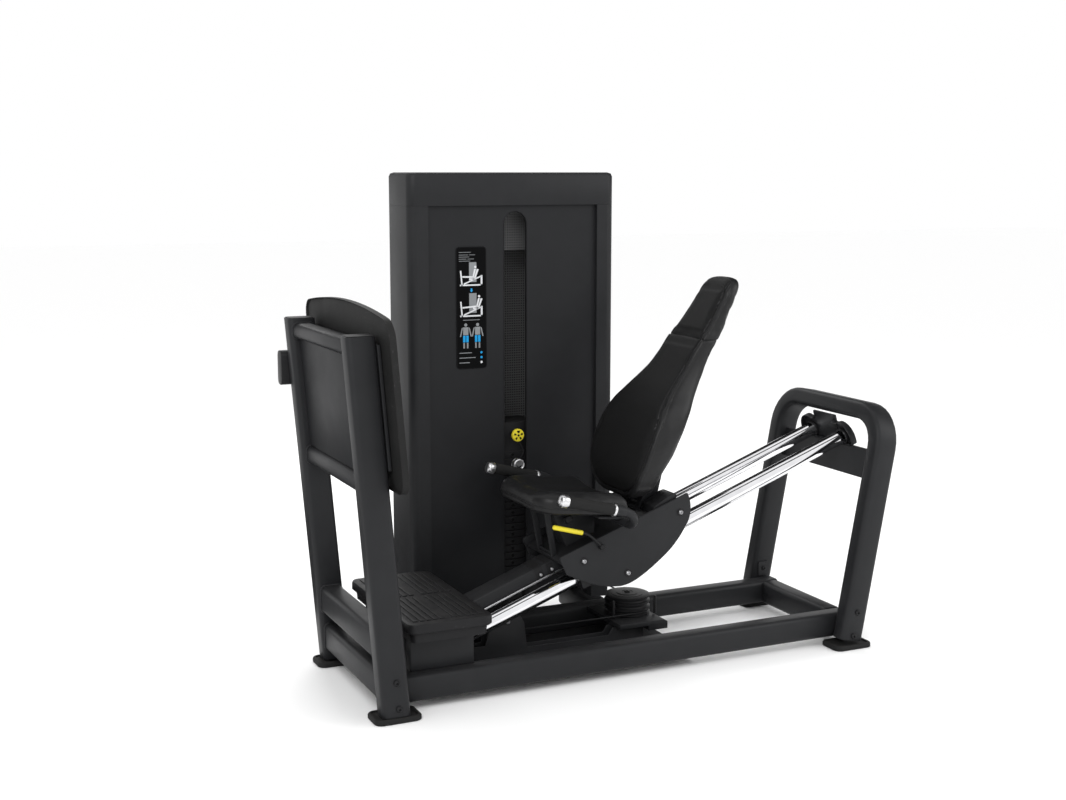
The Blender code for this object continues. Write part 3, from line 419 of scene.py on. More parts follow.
FINISH = {
    "powder_coat": grained("powder_coat", (0.0150, 0.0154, 0.0168), (0.0185, 0.0190, 0.0205), (0.40, 0.47), top_light_and_dust=0.05),
    "panel_coat": grained("panel_coat", (0.0120, 0.0124, 0.0138), (0.0145, 0.0150, 0.0166), (0.42, 0.50), scale=700.0,
                          strength=0.12, top_light_and_dust=0.04),
    "cast_plate": grained("cast_plate", (0.010, 0.010, 0.011), (0.016, 0.016, 0.017), (0.50, 0.62), scale=240.0,
                          strength=0.35, distance=0.0008, top_light_and_dust=0.10),
    "black_plastic": grained("black_plastic", (0.010, 0.010, 0.011), (0.014, 0.014, 0.015), (0.38, 0.46), scale=1500.0,
                             strength=0.15, top_light_and_dust=0.06),
    "step_plastic": grained("step_plastic", (0.009, 0.009, 0.010), (0.013, 0.013, 0.014), (0.42, 0.52), scale=800.0,
                            strength=0.3, top_light_and_dust=0.08, scuffs=0.5),
    "rubber": grained("rubber", (0.010, 0.010, 0.010), (0.014, 0.014, 0.014), (0.62, 0.74), scale=600.0,
                      strength=0.3, top_light_and_dust=0.08),
    "tread_rubber": grained("tread_rubber", (0.010, 0.010, 0.010), (0.015, 0.015, 0.015), (0.60, 0.72), scale=500.0,
                            strength=0.35, top_light_and_dust=0.05, scuffs=0.6),
    "vinyl": grained("vinyl", (0.0105, 0.0105, 0.0110), (0.0140, 0.0140, 0.0145), (0.34, 0.42), grain="hide",
                     scale=650.0, strength=0.16, distance=0.0004, coat=0.08),
    "seat_fabric": grained("seat_fabric", (0.0060, 0.0060, 0.0062), (0.0085, 0.0085, 0.0088), (0.70, 0.80),
                           grain="weave", scale=1500.0, strength=0.45, distance=0.0006),
    "chrome": metal_finish("chrome", (0.86, 0.86, 0.88), (0.045, 0.10), (3.0, 900.0, 3.0), 0.02),
    "satin_aluminium": metal_finish("satin_aluminium", (0.76, 0.76, 0.77), (0.26, 0.36), (900.0, 60.0, 60.0), 0.12),
    "zinc": metal_finish("zinc", (0.36, 0.36, 0.37), (0.26, 0.38), (300.0, 300.0, 300.0), 0.10),
    "yellow_plastic": grained("yellow_plastic", (0.74, 0.62, 0.030), (0.82, 0.69, 0.040), (0.34, 0.42), scale=900.0,
                              strength=0.08, coat=0.3),
    "cable_jacket": grained("cable_jacket", (0.009, 0.009, 0.010), (0.014, 0.014, 0.015), (0.30, 0.40), scale=1200.0,
                            strength=0.1),
    "print_white": grained("print_white", (0.62, 0.63, 0.65), (0.70, 0.71, 0.73), (0.45, 0.55), strength=0.05),
    "print_grey": grained("print_grey", (0.20, 0.21, 0.22), (0.26, 0.27, 0.28), (0.45, 0.55), strength=0.05),
    "print_blue": grained("print_blue", (0.010, 0.28, 0.62), (0.012, 0.33, 0.70), (0.45, 0.55), strength=0.05),
    "vinyl_thread": grained("vinyl_thread", (0.020, 0.020, 0.021), (0.030, 0.030, 0.031), (0.50, 0.60), strength=0.1),
    "board_black": grained("board_black", (0.006, 0.006, 0.007), (0.008, 0.008, 0.009), (0.30, 0.38), strength=0.05,
                           shine=0.08),
    "board_field": grained("board_field", (0.0025, 0.0025, 0.0028), (0.0035, 0.0035, 0.0038), (0.26, 0.32),
                           strength=0.03, shine=0.04),
    # Near-black: print for the knob's and dial's marks, and painted shade inside the plates' eyelet holes.
    "dark_print_and_hole_shade": grained("dark_print_and_hole_shade", (0.003, 0.003, 0.003), (0.004, 0.004, 0.004), (0.80, 0.90), strength=0.1),
}


# ------------------------------------------------------------------------ mesh helpers
def finished(name, mesh_bm, finish, body, replaces=(), sharp=35, recalc=True, bevel=0.0):
    """Make one visible piece from a bmesh, hang it on its body and hide the CAD nodes it replaces."""
    bmesh.ops.remove_doubles(mesh_bm, verts=mesh_bm.verts, dist=0.00001)
    if recalc:
        bmesh.ops.recalc_face_normals(mesh_bm, faces=mesh_bm.faces)
    obj = new_object(name, mesh_from(name, mesh_bm))
    obj.data.materials.append(FINISH[finish])
    if bevel:
        modifier = obj.modifiers.new("eased_edges", "BEVEL")
        modifier.width = bevel
        modifier.segments = 2
        modifier.limit_method = "ANGLE"
        modifier.angle_limit = radians(sharp)
        apply_modifiers(obj)
    shade(obj, sharp)
    settle(obj, body, replaces)
    return obj


def shade(obj, sharp):
    """Smooth faces, with creases past an angle in degrees."""
    obj.data.shade_smooth()
    obj.data.set_sharp_from_angle(angle=radians(sharp))


def settle(obj, body, replaces=()):
    """Body and replaced CAD nodes of one piece."""
    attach(obj, body)
    if replaces:
        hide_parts(*replaces)


def apply_modifiers(obj):
    """Swap the object's mesh for what its modifiers make of it."""
    graph = bpy.context.evaluated_depsgraph_get()
    mesh = bpy.data.meshes.new_from_object(obj.evaluated_get(graph), depsgraph=graph)
    obj.modifiers.clear()
    obj.data = mesh


def polished(node, finish=None, bevel=0.0012):
    """A welded copy of a CAD node with eased edges, which stands for it."""
    mesh_bm = bmesh.new()
    mesh_bm.from_mesh(frame["nodes"][node].data)
    bmesh.ops.remove_doubles(mesh_bm, verts=mesh_bm.verts, dist=0.00004)
    bmesh.ops.dissolve_limit(mesh_bm, angle_limit=radians(0.5), verts=mesh_bm.verts, edges=mesh_bm.edges)
    slot = SLOT_OF[node]
    return finished(node + "_piece", mesh_bm, finish or slot, BODY_OF[node], (node,), recalc=False, bevel=bevel)


def loft(rings, closed_ends=True):
    """A body through rings with the same number of points."""
    body = bmesh.new()
    loops = [[body.verts.new(p) for p in ring] for ring in rings]
    count = len(loops[0])
    for one, two in zip(loops, loops[1:]):
        for i in range(count):
            body.faces.new((one[i], one[(i + 1) % count], two[(i + 1) % count], two[i]))
    if closed_ends:
        body.faces.new(loops[0])
        body.faces.new(loops[-1])
    return body


def merge(target, other):
    """Add a bmesh's faces to another and drop it."""
    mesh = mesh_from("part", other)
    target.from_mesh(mesh)
    bpy.data.meshes.remove(mesh)


def merged(parts):
    """One bmesh from several."""
    whole = bmesh.new()
    for part in parts:
        bmesh.ops.recalc_face_normals(part, faces=part.faces)
        merge(whole, part)
    return whole


def rounded_rect(width, height, radius, steps=6):
    """A centred rectangle with round corners, as (across, up) points."""
    points = []
    for corner, (sx, sy) in enumerate(((1, 1), (-1, 1), (-1, -1), (1, -1))):
        centre = (sx * (width / 2 - radius), sy * (height / 2 - radius))
        for step in range(steps + 1):
            angle = pi / 2 * (corner + step / steps)
            points.append((centre[0] + radius * cos(angle), centre[1] + radius * sin(angle)))
    return points


def circle(radius, count=32, centre=(0.0, 0.0)):
    """Points round a circle."""
    return [(centre[0] + radius * cos(2 * pi * i / count), centre[1] + radius * sin(2 * pi * i / count))
            for i in range(count)]


def arc(centre, radius, start, end, steps):
    """Points (a, b) along an arc, angles in degrees."""
    return [(centre[0] + radius * cos(radians(start + (end - start) * i / steps)),
             centre[1] + radius * sin(radians(start + (end - start) * i / steps))) for i in range(steps + 1)]


def stations_along(path, up):
    """(point, side, rise) at each point of a path, square to the path."""
    last = len(path) - 1
    for i, point in enumerate(path):
        tangent = (path[min(i + 1, last)] - path[max(i - 1, 0)]).normalized()
        side = tangent.cross(up).normalized()
        yield point, side, side.cross(tangent).normalized()


def sweep(section, path, up):
    """Carry an outline (across, up) along a path of points."""
    return loft([[point + side * a + rise * b for a, b in section] for point, side, rise in stations_along(path, up)])


def slab(low, high, radius, axis="X", edge=0.0):
    """A box with its four edges along `axis` rounded, and its ends eased by `edge`."""
    size = high - low
    centre = (low + high) / 2
    along, u, v = {"X": (0, 1, 2), "Y": (1, 2, 0), "Z": (2, 0, 1)}[axis]
    section = rounded_rect(size[u], size[v], radius)
    stations = [(-size[along] / 2, edge), (-size[along] / 2 + edge, 0.0), (size[along] / 2 - edge, 0.0),
                (size[along] / 2, edge)]
    if edge == 0:
        stations = [(-size[along] / 2, 0.0), (size[along] / 2, 0.0)]
    rings = []
    for place, inset in stations:
        ring = []
        for a, b in section:
            point = centre.copy()
            point[along] += place
            point[u] += a * (1 - 2 * inset / size[u])
            point[v] += b * (1 - 2 * inset / size[v])
            ring.append(point)
        rings.append(ring)
    return loft(rings)


def prism(outline, y0, y1):
    """A plate with an (x, z) outline between two y places."""
    return loft([[spot(x, y, z) for x, z in outline] for y in (y0, y1)])


def turned(profile, centre, axis, count=48):
    """A turned piece: (radius, height) points from one end on the axis to the other."""
    turn = Z.rotation_difference(axis)
    return loft([[centre + turn @ Vector((a, b, height)) for a, b in circle(radius, count)]
                 for radius, height in profile])


def mirrored(y0, y1, sign):
    """Two distances from the middle plane, on the side given by `sign`, lower first."""
    return sorted((sign * y0, sign * y1))


def smooth_line(points, steps):
    """Catmull-Rom points through a list of equal-length tuples."""
    made = []
    last = len(points) - 1
    for i in range(last):
        p0, p1 = points[max(i - 1, 0)], points[i]
        p2, p3 = points[i + 1], points[min(i + 2, last)]
        for step in range(steps):
            t = step / steps
            made.append(tuple(0.5 * (2 * b + (c - a) * t + (2 * a - 5 * b + 4 * c - d) * t * t
                                     + (3 * b - a - 3 * c + d) * t ** 3) for a, b, c, d in zip(p0, p1, p2, p3)))
    made.append(points[-1])
    return made


# ------------------------------------------------------------------------ copies placed by Geometry Nodes
def copies_tree(name, inputs, build_piece):
    """A tree that puts the piece from `build_piece(t, ins)` on every point, turned to the point's axis."""
    tree = bpy.data.node_groups.new(name, "GeometryNodeTree")
    tree.interface.new_socket("Geometry", in_out="INPUT", socket_type="NodeSocketGeometry")
    for label, kind in inputs:
        tree.interface.new_socket(label, in_out="INPUT", socket_type="NodeSocket" + kind)
    tree.interface.new_socket("Finish", in_out="INPUT", socket_type="NodeSocketMaterial")
    tree.interface.new_socket("Geometry", in_out="OUTPUT", socket_type="NodeSocketGeometry")
    t = Tree(tree)
    ins = t.node("NodeGroupInput").outputs
    axis = t.node("GeometryNodeInputNamedAttribute", data_type="FLOAT_VECTOR")
    axis.inputs["Name"].default_value = "axis"
    turn = t.node("FunctionNodeAlignRotationToVector", axis="Z")
    t.link(axis.outputs["Attribute"], turn.inputs["Vector"])
    place = t.node("GeometryNodeInstanceOnPoints")
    t.link(ins["Geometry"], place.inputs["Points"])
    t.link(build_piece(t, ins), place.inputs["Instance"])
    t.link(turn.outputs["Rotation"], place.inputs["Rotation"])
    real = t.node("GeometryNodeRealizeInstances")
    t.link(place.outputs["Instances"], real.inputs["Geometry"])
    paint = t.node("GeometryNodeSetMaterial")
    t.link(real.outputs["Geometry"], paint.inputs["Geometry"])
    t.link(ins["Finish"], paint.inputs["Material"])
    t.link(paint.outputs["Geometry"], t.node("NodeGroupOutput").inputs["Geometry"])
    return tree


def lifted(t, ins, shape, lift):
    """A shape moved up by `lift` times the head's height."""
    move = t.node("GeometryNodeTransform")
    offset = t.node("ShaderNodeCombineXYZ")
    t.link(t.math("MULTIPLY", ins["Head Height"], lift), offset.inputs["Z"])
    t.link(shape, move.inputs["Geometry"])
    t.link(offset.outputs[0], move.inputs["Translation"])
    return move.outputs["Geometry"]


def head_cylinder(t, ins, radius, depth, sides, lift):
    """A cylinder sized and lifted in shares of the head's radius and height."""
    made = t.node("GeometryNodeMeshCylinder")
    made.inputs["Vertices"].default_value = sides
    t.link(t.math("MULTIPLY", ins["Head Radius"], radius), made.inputs["Radius"])
    t.link(t.math("MULTIPLY", ins["Head Height"], depth), made.inputs["Depth"])
    return lifted(t, ins, made.outputs["Mesh"], lift)


def button_head(t, ins):
    """A bolt's button head with a hex socket."""
    cone = t.node("GeometryNodeMeshCone")
    cone.inputs["Vertices"].default_value = 32
    t.link(ins["Head Radius"], cone.inputs["Radius Bottom"])
    t.link(t.math("MULTIPLY", ins["Head Radius"], 0.72), cone.inputs["Radius Top"])
    t.link(t.math("MULTIPLY", ins["Head Height"], 0.45), cone.inputs["Depth"])
    head = t.node("GeometryNodeMeshBoolean", operation="UNION", solver="EXACT")
    t.link(head_cylinder(t, ins, 1.0, 0.60, 32, 0.26), head.inputs["Mesh 2"])
    t.link(lifted(t, ins, cone.outputs["Mesh"], 0.55), head.inputs["Mesh 2"])
    cut = t.node("GeometryNodeMeshBoolean", operation="DIFFERENCE", solver="EXACT")
    t.link(head.outputs["Mesh"], cut.inputs["Mesh 1"])
    t.link(head_cylinder(t, ins, 0.44, 0.80, 6, 0.85), cut.inputs["Mesh 2"])
    return cut.outputs["Mesh"]


def given_piece(t, ins):
    """The geometry of the object given to the tree."""
    info = t.node("GeometryNodeObjectInfo")
    t.link(ins["Piece"], info.inputs["Object"])
    return info.outputs["Geometry"]


BOLTS = copies_tree("bolt_heads", (("Head Radius", "Float"), ("Head Height", "Float")), button_head)
REPEAT = copies_tree("repeated_piece", (("Piece", "Object"),), given_piece)


def placed(name, places, tree, values, sharp, body, replaces=()):
    """Run one of the two trees on (place, axis) pairs and keep the result as a plain mesh."""
    points = bpy.data.meshes.new(name)
    points.from_pydata([p for p, _ in places], [], [])
    attribute = points.attributes.new("axis", "FLOAT_VECTOR", "POINT")
    for item, (_, axis) in zip(attribute.data, places):
        item.vector = axis
    obj = new_object(name, points)
    modifier = obj.modifiers.new("copies", "NODES")
    modifier.node_group = tree
    names = {s.name: s.identifier for s in tree.interface.items_tree if s.in_out == "INPUT"}
    for label, value in values.items():
        modifier[names[label]] = value
    apply_modifiers(obj)
    shade(obj, sharp)
    settle(obj, body, replaces)


def bolts(name, places, body, finish, radius=0.008, height=0.005):
    """Bolt heads at (place, outward axis) pairs, all on one body."""
    values = {"Head Radius": radius, "Head Height": height, "Finish": FINISH[finish]}
    placed(name, places, BOLTS, values, 30, body)


def repeated(name, piece_bm, places, finish, body, replaces=(), sharp=35):
    """Copies of one small piece, modelled round the origin, at (place, axis) pairs."""
    bmesh.ops.recalc_face_normals(piece_bm, faces=piece_bm.faces)
    one = new_object(name + "_one", mesh_from(name + "_one", piece_bm))
    placed(name, places, REPEAT, {"Piece": one, "Finish": FINISH[finish]}, sharp, body, replaces)
    bpy.data.objects.remove(one)


# ------------------------------------------------------------------------ fixed frame
KEPT_SHAPES = ("near_base_rail", "far_base_rail", "rear_cross_tube", "front_lower_tube", "front_upper_tube",
               "near_upright", "far_upright", "top_cross_tube", "middle_cross_tube", "rear_hoop",
               "tower_link_tube", "foot_rest_back_panel", "foot_plate_backing", "step_frame", "base_channel",
               "base_pulley_mount", "tower_base", "carriage_saddle", "back_post", "pull_beam",
               "near_bearing_block", "far_bearing_block", "selected_weight_plate", "head_plate",
               "accessory_holder", "tower_top")


def welded_frame():
    """The tubes and plates whose shape is already right, with eased edges."""
    for node in KEPT_SHAPES:
        polished(node, bevel=0.0015)


def weld_bead(name, path, up):
    """A rippled fillet weld along a path of evenly spaced points."""
    rings = []
    for i, (point, side, rise) in enumerate(stations_along(path, up)):
        radius = 0.0042 + 0.0006 * sin(i * 2.1)
        rings.append([point + side * a + rise * b for a, b in circle(radius, 8)])
    finished(name, loft(rings), "powder_coat", "frame", sharp=60)


def frame_welds():
    """Beads where the cross tubes meet the uprights, round the tubes' visible sides."""
    for node in ("front_lower_tube", "front_upper_tube", "top_cross_tube", "middle_cross_tube"):
        low, high = box_of(node)
        section = rounded_rect(high.x - low.x, high.z - low.z, 0.016, 8)
        centre = (low + high) / 2
        for side, y in (("near", low.y + 0.001), ("far", high.y - 0.001)):
            path = [Vector((centre.x + a, y, centre.z + b)) for a, b in section]
            path.append(path[0])
            weld_bead(side + "_weld_" + node, path, Y)


def frame_bolts():
    """Bolt heads on the uprights and the hoop, and a bolted tab inside each of the hoop's legs."""
    outer = LEG_Y + TUBE_THIN / 2
    places = []
    for z in (0.043, 0.125):
        for sign in (-1, 1):
            places.append((spot(upright_x(z, 0.006), sign * outer, z), Y * sign))
            places.append((spot(hoop_x(z), sign * (HOOP_Y + HOOP_THIN / 2), z), Y * sign))
    bolts("frame_bolts", places, "frame", "black_plastic", 0.0095, 0.007)
    inner = HOOP_Y - HOOP_THIN / 2
    tabs = []
    for sign in (-1, 1):
        low = spot(hoop_x(0.135, -0.022), sign * (inner - 0.004), 0.112)
        high = spot(hoop_x(0.135, 0.022), sign * inner, 0.165)
        tabs.append(slab(Vector((low.x, min(low.y, high.y), low.z)), Vector((high.x, max(low.y, high.y), high.z)),
                         0.006, "Y"))
    finished("hoop_tabs", merged(tabs), "powder_coat", "frame", recalc=False)
    inside = [(spot(hoop_x(0.140), sign * (inner - 0.004), 0.140), Y * -sign) for sign in (-1, 1)]
    bolts("hoop_tab_bolts", inside, "frame", "black_plastic", 0.0085, 0.006)


def foot_cups():
    """Moulded feet: a flared pad with a raised collar round the tube's end."""
    for node in ("near_front_foot_pad", "far_front_foot_pad", "near_rear_foot_pad", "far_rear_foot_pad"):
        low, high = box_of(node)
        centre = (low + high) / 2
        width, depth = high.x - low.x, high.y - low.y
        rings = []
        for z, inset in ((0.0, 0.003), (0.002, 0.0), (0.012, 0.0), (0.0155, 0.0025), (0.0165, 0.006), (0.0165, 0.010),
                         (0.0120, 0.0125), (0.0120, 0.020)):
            section = rounded_rect(width - 2 * inset, depth - 2 * inset, max(0.026 - inset, 0.004), 8)
            rings.append([Vector((centre.x + a, centre.y + b, z)) for a, b in section])
        finished(node + "_cup", loft(rings), "rubber", "frame", (node,), sharp=40)


def tube_caps():
    """Flat plugs in the open tops of the uprights."""
    wall = 0.0035
    for side, sign in SIDES:
        low = spot(upright_x(1.160, wall - TUBE_DEEP / 2), sign * LEG_Y - TUBE_THIN / 2 + wall, 1.1595)
        high = spot(upright_x(1.160, TUBE_DEEP / 2 - wall), sign * LEG_Y + TUBE_THIN / 2 - wall, 1.1625)
        finished(side + "_upright_plug", slab(low, high, 0.013, "Z", 0.001), "black_plastic", "frame")


# ------------------------------------------------------------------------ foot plate
def foot_plate():
    """A dished moulded plate with a rolled rim and an arched top, ribbed where feet press."""
    low, high = box_of("foot_plate")
    half = (high.y - low.y) / 2
    mid_y = (low.y + high.y) / 2
    corner, arch, base, top = 0.050, 0.034, 0.702, 1.206
    back = TUBE_DEEP / 2 + 0.011
    thick = 0.020
    columns, rows = 48, 32

    def outline_z(y):
        """Lower and upper edge of the plate at a distance from its middle."""
        over = max(0.0, abs(y) - (half - corner))
        trim = corner - sqrt(max(corner ** 2 - over ** 2, 0.0))
        return base + trim, top - trim + arch * (1 - (y / half) ** 2)

    def surface(u, v, lift):
        """u, v from -1 to 1; `lift` is the distance out from the plate's back."""
        y = half * u
        z0, z1 = outline_z(y)
        z = z0 + (z1 - z0) * (v + 1) / 2
        return Vector((MID_X + upright_x(z, back + lift), mid_y + y, z))

    def dish(u, v):
        """How far the face is hollowed."""
        edge = max(abs(u), abs(v)) ** 6
        return 0.010 * (1 - edge)

    body = bmesh.new()
    us = [sin(pi / 2 * (2 * i / columns - 1)) for i in range(columns + 1)]
    vs = [sin(pi / 2 * (2 * j / rows - 1)) for j in range(rows + 1)]
    front = [[body.verts.new(surface(u, v, thick - dish(u, v))) for u in us] for v in vs]
    rear = [[body.verts.new(surface(u, v, 0.008 - 0.8 * dish(u, v) if max(abs(u), abs(v)) < 0.985 else 0.0))
             for u in us] for v in vs]
    for sheet, flip in ((front, False), (rear, True)):
        for j in range(rows):
            for i in range(columns):
                face = (sheet[j][i], sheet[j][i + 1], sheet[j + 1][i + 1], sheet[j + 1][i])
                body.faces.new(face[::-1] if flip else face)
    border = [(0, i) for i in range(columns)] + [(j, columns) for j in range(rows)]
    border += [(rows, i) for i in range(columns, 0, -1)] + [(j, 0) for j in range(rows, 0, -1)]
    for (j0, i0), (j1, i1) in zip(border, border[1:] + border[:1]):
        body.faces.new((front[j0][i0], rear[j0][i0], rear[j1][i1], front[j1][i1]))
    finished("foot_plate_piece", body, "tread_rubber", "frame", ("foot_plate",), sharp=60)
    ribs = []
    for k in range(-11, 12):
        z_mid = 0.955 + 0.020 * k
        if not base + 0.035 < z_mid < top - 0.020:
            continue
        path = []
        for i in range(33):
            u = (-1 + 2 * i / 32) * 0.86
            z0, z1 = outline_z(half * u)
            v = 2 * (z_mid - z0) / (z1 - z0) - 1
            path.append(surface(u, v, thick - dish(u, v)))
        ribs.append(sweep(circle(0.0022, 8), path, X))
    finished("foot_plate_ribs", merged(ribs), "tread_rubber", "frame", sharp=60, recalc=False)


# ------------------------------------------------------------------------ step
def step():
    """The moulded step: a chamfered deck over a drawn-in skirt, and two groups of long ribs."""
    low, high = STEP_LOW, STEP_HIGH
    centre = (low + high) / 2
    size = high - low
    rings = []
    for z, inset, radius in ((low.z, 0.016, 0.020), (low.z + 0.028, 0.014, 0.020), (low.z + 0.030, 0.004, 0.030),
                             (low.z + 0.034, 0.0, 0.032), (high.z - 0.012, 0.0, 0.032), (high.z - 0.005, 0.003, 0.030),
                             (high.z - 0.003, 0.010, 0.026), (high.z - 0.003, 0.016, 0.022)):
        section = rounded_rect(size.x - 2 * inset, size.y - 2 * inset, radius, 8)
        rings.append([Vector((centre.x + a, centre.y + b, z)) for a, b in section])
    finished("step_deck", loft(rings), "step_plastic", "frame", ("step_cover",), sharp=30)
    ribs = []
    for group in (-1, 1):
        for k in range(5):
            x = centre.x + group * 0.064 + (k - 2) * 0.0215
            for half in (-1, 1):
                y0, y1 = sorted((centre.y + half * 0.012, centre.y + half * (size.y / 2 - 0.030)))
                ribs.append(slab(Vector((x - 0.008, y0, high.z - 0.004)), Vector((x + 0.008, y1, high.z)), 0.0016, "Y",
                                 0.0015))
    finished("step_ribs", merged(ribs), "step_plastic", "frame", sharp=40, recalc=False)


# ------------------------------------------------------------------------ guide rods
def guide_rods():
    """Two polished rods."""
    for side, sign in SIDES:
        lower, upper = on_slope(-0.6195, 0, sign * ROD_Y), on_slope(0.9145, 0, sign * ROD_Y)
        axis = (upper - lower).normalized()
        length = (upper - lower).length
        profile = [(ROD_R - 0.002, 0), (ROD_R, 0.002), (ROD_R, length - 0.002), (ROD_R - 0.002, length)]
        finished(side + "_guide_rod_piece", turned(profile, lower, axis, 96), "chrome", "frame",
                 (side + "_guide_rod",), sharp=30)


# ------------------------------------------------------------------------ pulleys and cable
GROOVE = 0.006
CABLE_R = 0.003


def wheel(node, grooves=1, hub=0.004, axis=Y):
    """A turned pulley with rounded grooves, a lightened web and a hub, in its node's box."""
    low, high = box_of(node)
    centre = (low + high) / 2
    rim = max(high - low) / 2
    half = (high - low).dot(axis) / 2 - hub
    pitch = 2 * half / grooves
    depth = GROOVE + CABLE_R + 0.0010
    web_out, web_in, bore, boss = rim * 0.62, rim * 0.55, 0.006, 0.013
    profile = [(bore, -half - hub), (boss, -half - hub), (boss, -half + 0.003), (web_in, -half + 0.003),
               (web_out, -half), (rim - 0.001, -half), (rim, -half + 0.0008)]
    for groove in range(grooves):
        middle = -half + pitch * (groove + 0.5)
        for part in range(9):
            turn = pi * part / 8
            profile.append((rim - depth * sin(turn) ** 0.8, middle - cos(turn) * pitch * 0.36))
    profile += [(rim, half - 0.0008), (rim - 0.001, half), (web_out, half), (web_in, half - 0.003),
                (boss, half - 0.003), (boss, half + hub), (bore, half + hub)]
    finished(node + "_wheel", turned(profile, centre, axis, 72), "black_plastic", BODY_OF[node],
             (node,), sharp=32)


def pulleys():
    """The five wheels that the cable turns on."""
    wheel("front_pulley", hub=0.0057)
    wheel("base_pulley", grooves=3, hub=0.003, axis=Z)
    wheel("tower_base_pulley", hub=0.0015, axis=X)
    wheel("right_top_pulley")
    wheel("left_top_pulley")


def cable_piece(name, points, body, replaces, radius=CABLE_R):
    """A round cable along a route, with enough sides to look smooth."""
    curve = bpy.data.curves.new(name, "CURVE")
    curve.dimensions = "3D"
    curve.bevel_depth = radius
    curve.bevel_resolution = 4
    curve.use_fill_caps = True
    spline = curve.splines.new("POLY")
    spline.points.add(len(points) - 1)
    for point, place in zip(spline.points, points):
        point.co = (*place, 1)
    obj = new_object(name, curve)
    graph = bpy.context.evaluated_depsgraph_get()
    mesh = bpy.data.meshes.new_from_object(obj.evaluated_get(graph), depsgraph=graph)
    bpy.data.objects.remove(obj)
    solid = new_object(name, mesh)
    mesh.materials.clear()
    mesh.materials.append(FINISH["cable_jacket"])
    mesh.shade_smooth()
    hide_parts(*replaces)
    if body:
        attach(solid, body)
    return solid


FRONT_PULLEY = Vector((-0.362, 0.0, 0.165))
BASE_PULLEY = Vector((0.137, 0.074, 0.141))
CABLE_Y = 0.486
TOP_PULLEY_Z = 1.420
STACK_X = -0.150


def wrap(centre, radius, u, v, start, end, steps):
    """The cable's line round a wheel, in the plane of u and v."""
    return [centre + u * a + v * b for a, b in arc((0, 0), radius, start, end, steps)]


def cables():
    """The cable from the pull beam round every pulley to the weight stack."""
    radius = 0.050 - GROOVE
    front = spot(*FRONT_PULLEY)
    leave = front + ACROSS * radius
    anchor = leave + SLOPE * 0.090
    beam_run = [leave + (anchor - leave) * i / 12 for i in range(13)]
    press = cable_piece("press_cable_piece", beam_run, None, ("press_cable",))
    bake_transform(press)
    low_z = FRONT_PULLEY.z - radius
    flat_r, small = 0.080 - GROOVE, 0.045 - GROOVE
    exit_x = BASE_PULLEY.x + flat_r
    flat = spot(BASE_PULLEY.x, BASE_PULLEY.y, low_z)
    lower = spot(exit_x, CABLE_Y - small, low_z + small)
    right = spot(exit_x - small, CABLE_Y, TOP_PULLEY_Z)
    left = spot(STACK_X + small, CABLE_Y, TOP_PULLEY_Z)
    route = wrap(front, radius, X, Z, 110.5, 270, 20)
    route += wrap(flat, flat_r, X, Y, -90, 0, 16)
    route += wrap(lower, small, Y, Z, -90, 0, 12)
    route += wrap(right, small, X, Z, 0, 90, 12)
    route += wrap(left, small, X, Z, 90, 180, 12)
    cable_piece("main_cable_piece", route, "frame", ("main_cable",))
    drop = [spot(STACK_X, CABLE_Y, TOP_PULLEY_Z - 0.675 * i / 20) for i in range(21)]
    stack = cable_piece("stack_cable_piece", drop, None, ("stack_cable",))
    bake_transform(stack)


# ------------------------------------------------------------------------ tower
def tower():
    """The folded casing, the recessed front sheet, and the perforated sheets behind its slot."""
    low, high = box_of("tower_casing")
    polished("tower_casing", bevel=0.0)
    front_sheet(*box_of("tower_front_panel"))
    x0, x1 = low.x - MID_X + 0.030, high.x - MID_X - 0.030
    slot_x0, slot_x1 = STACK_X - SLOT_HALF - 0.020, STACK_X + SLOT_HALF + 0.050
    behind_plates = high.y - MID_Y - 0.0165
    before_pulleys = 0.468
    lower = bar(x0, x1, low.z + 0.005, 1.360)
    upper = bar(slot_x0, slot_x1, 1.352, 1.540)
    for name, outline, y, thick in (("inner_mesh", lower, behind_plates, 0.002),
                                    ("upper_mesh", upper, before_pulleys, 0.0015)):
        finished(name, prism(outline, y, y + thick), "perforated_sheet", "frame")


SLOT_HALF, SLOT_TOP, SLOT_BOTTOM = 0.042, 1.488, 0.160


def slot_outline(grow=0.0, steps=24):
    """The slot's outline, round at the top, optionally grown outwards."""
    half = SLOT_HALF + grow
    outline = [(STACK_X - half, SLOT_BOTTOM - grow), (STACK_X + half, SLOT_BOTTOM - grow)]
    return outline + arc((STACK_X, SLOT_TOP - SLOT_HALF), half, 0, 180, steps)


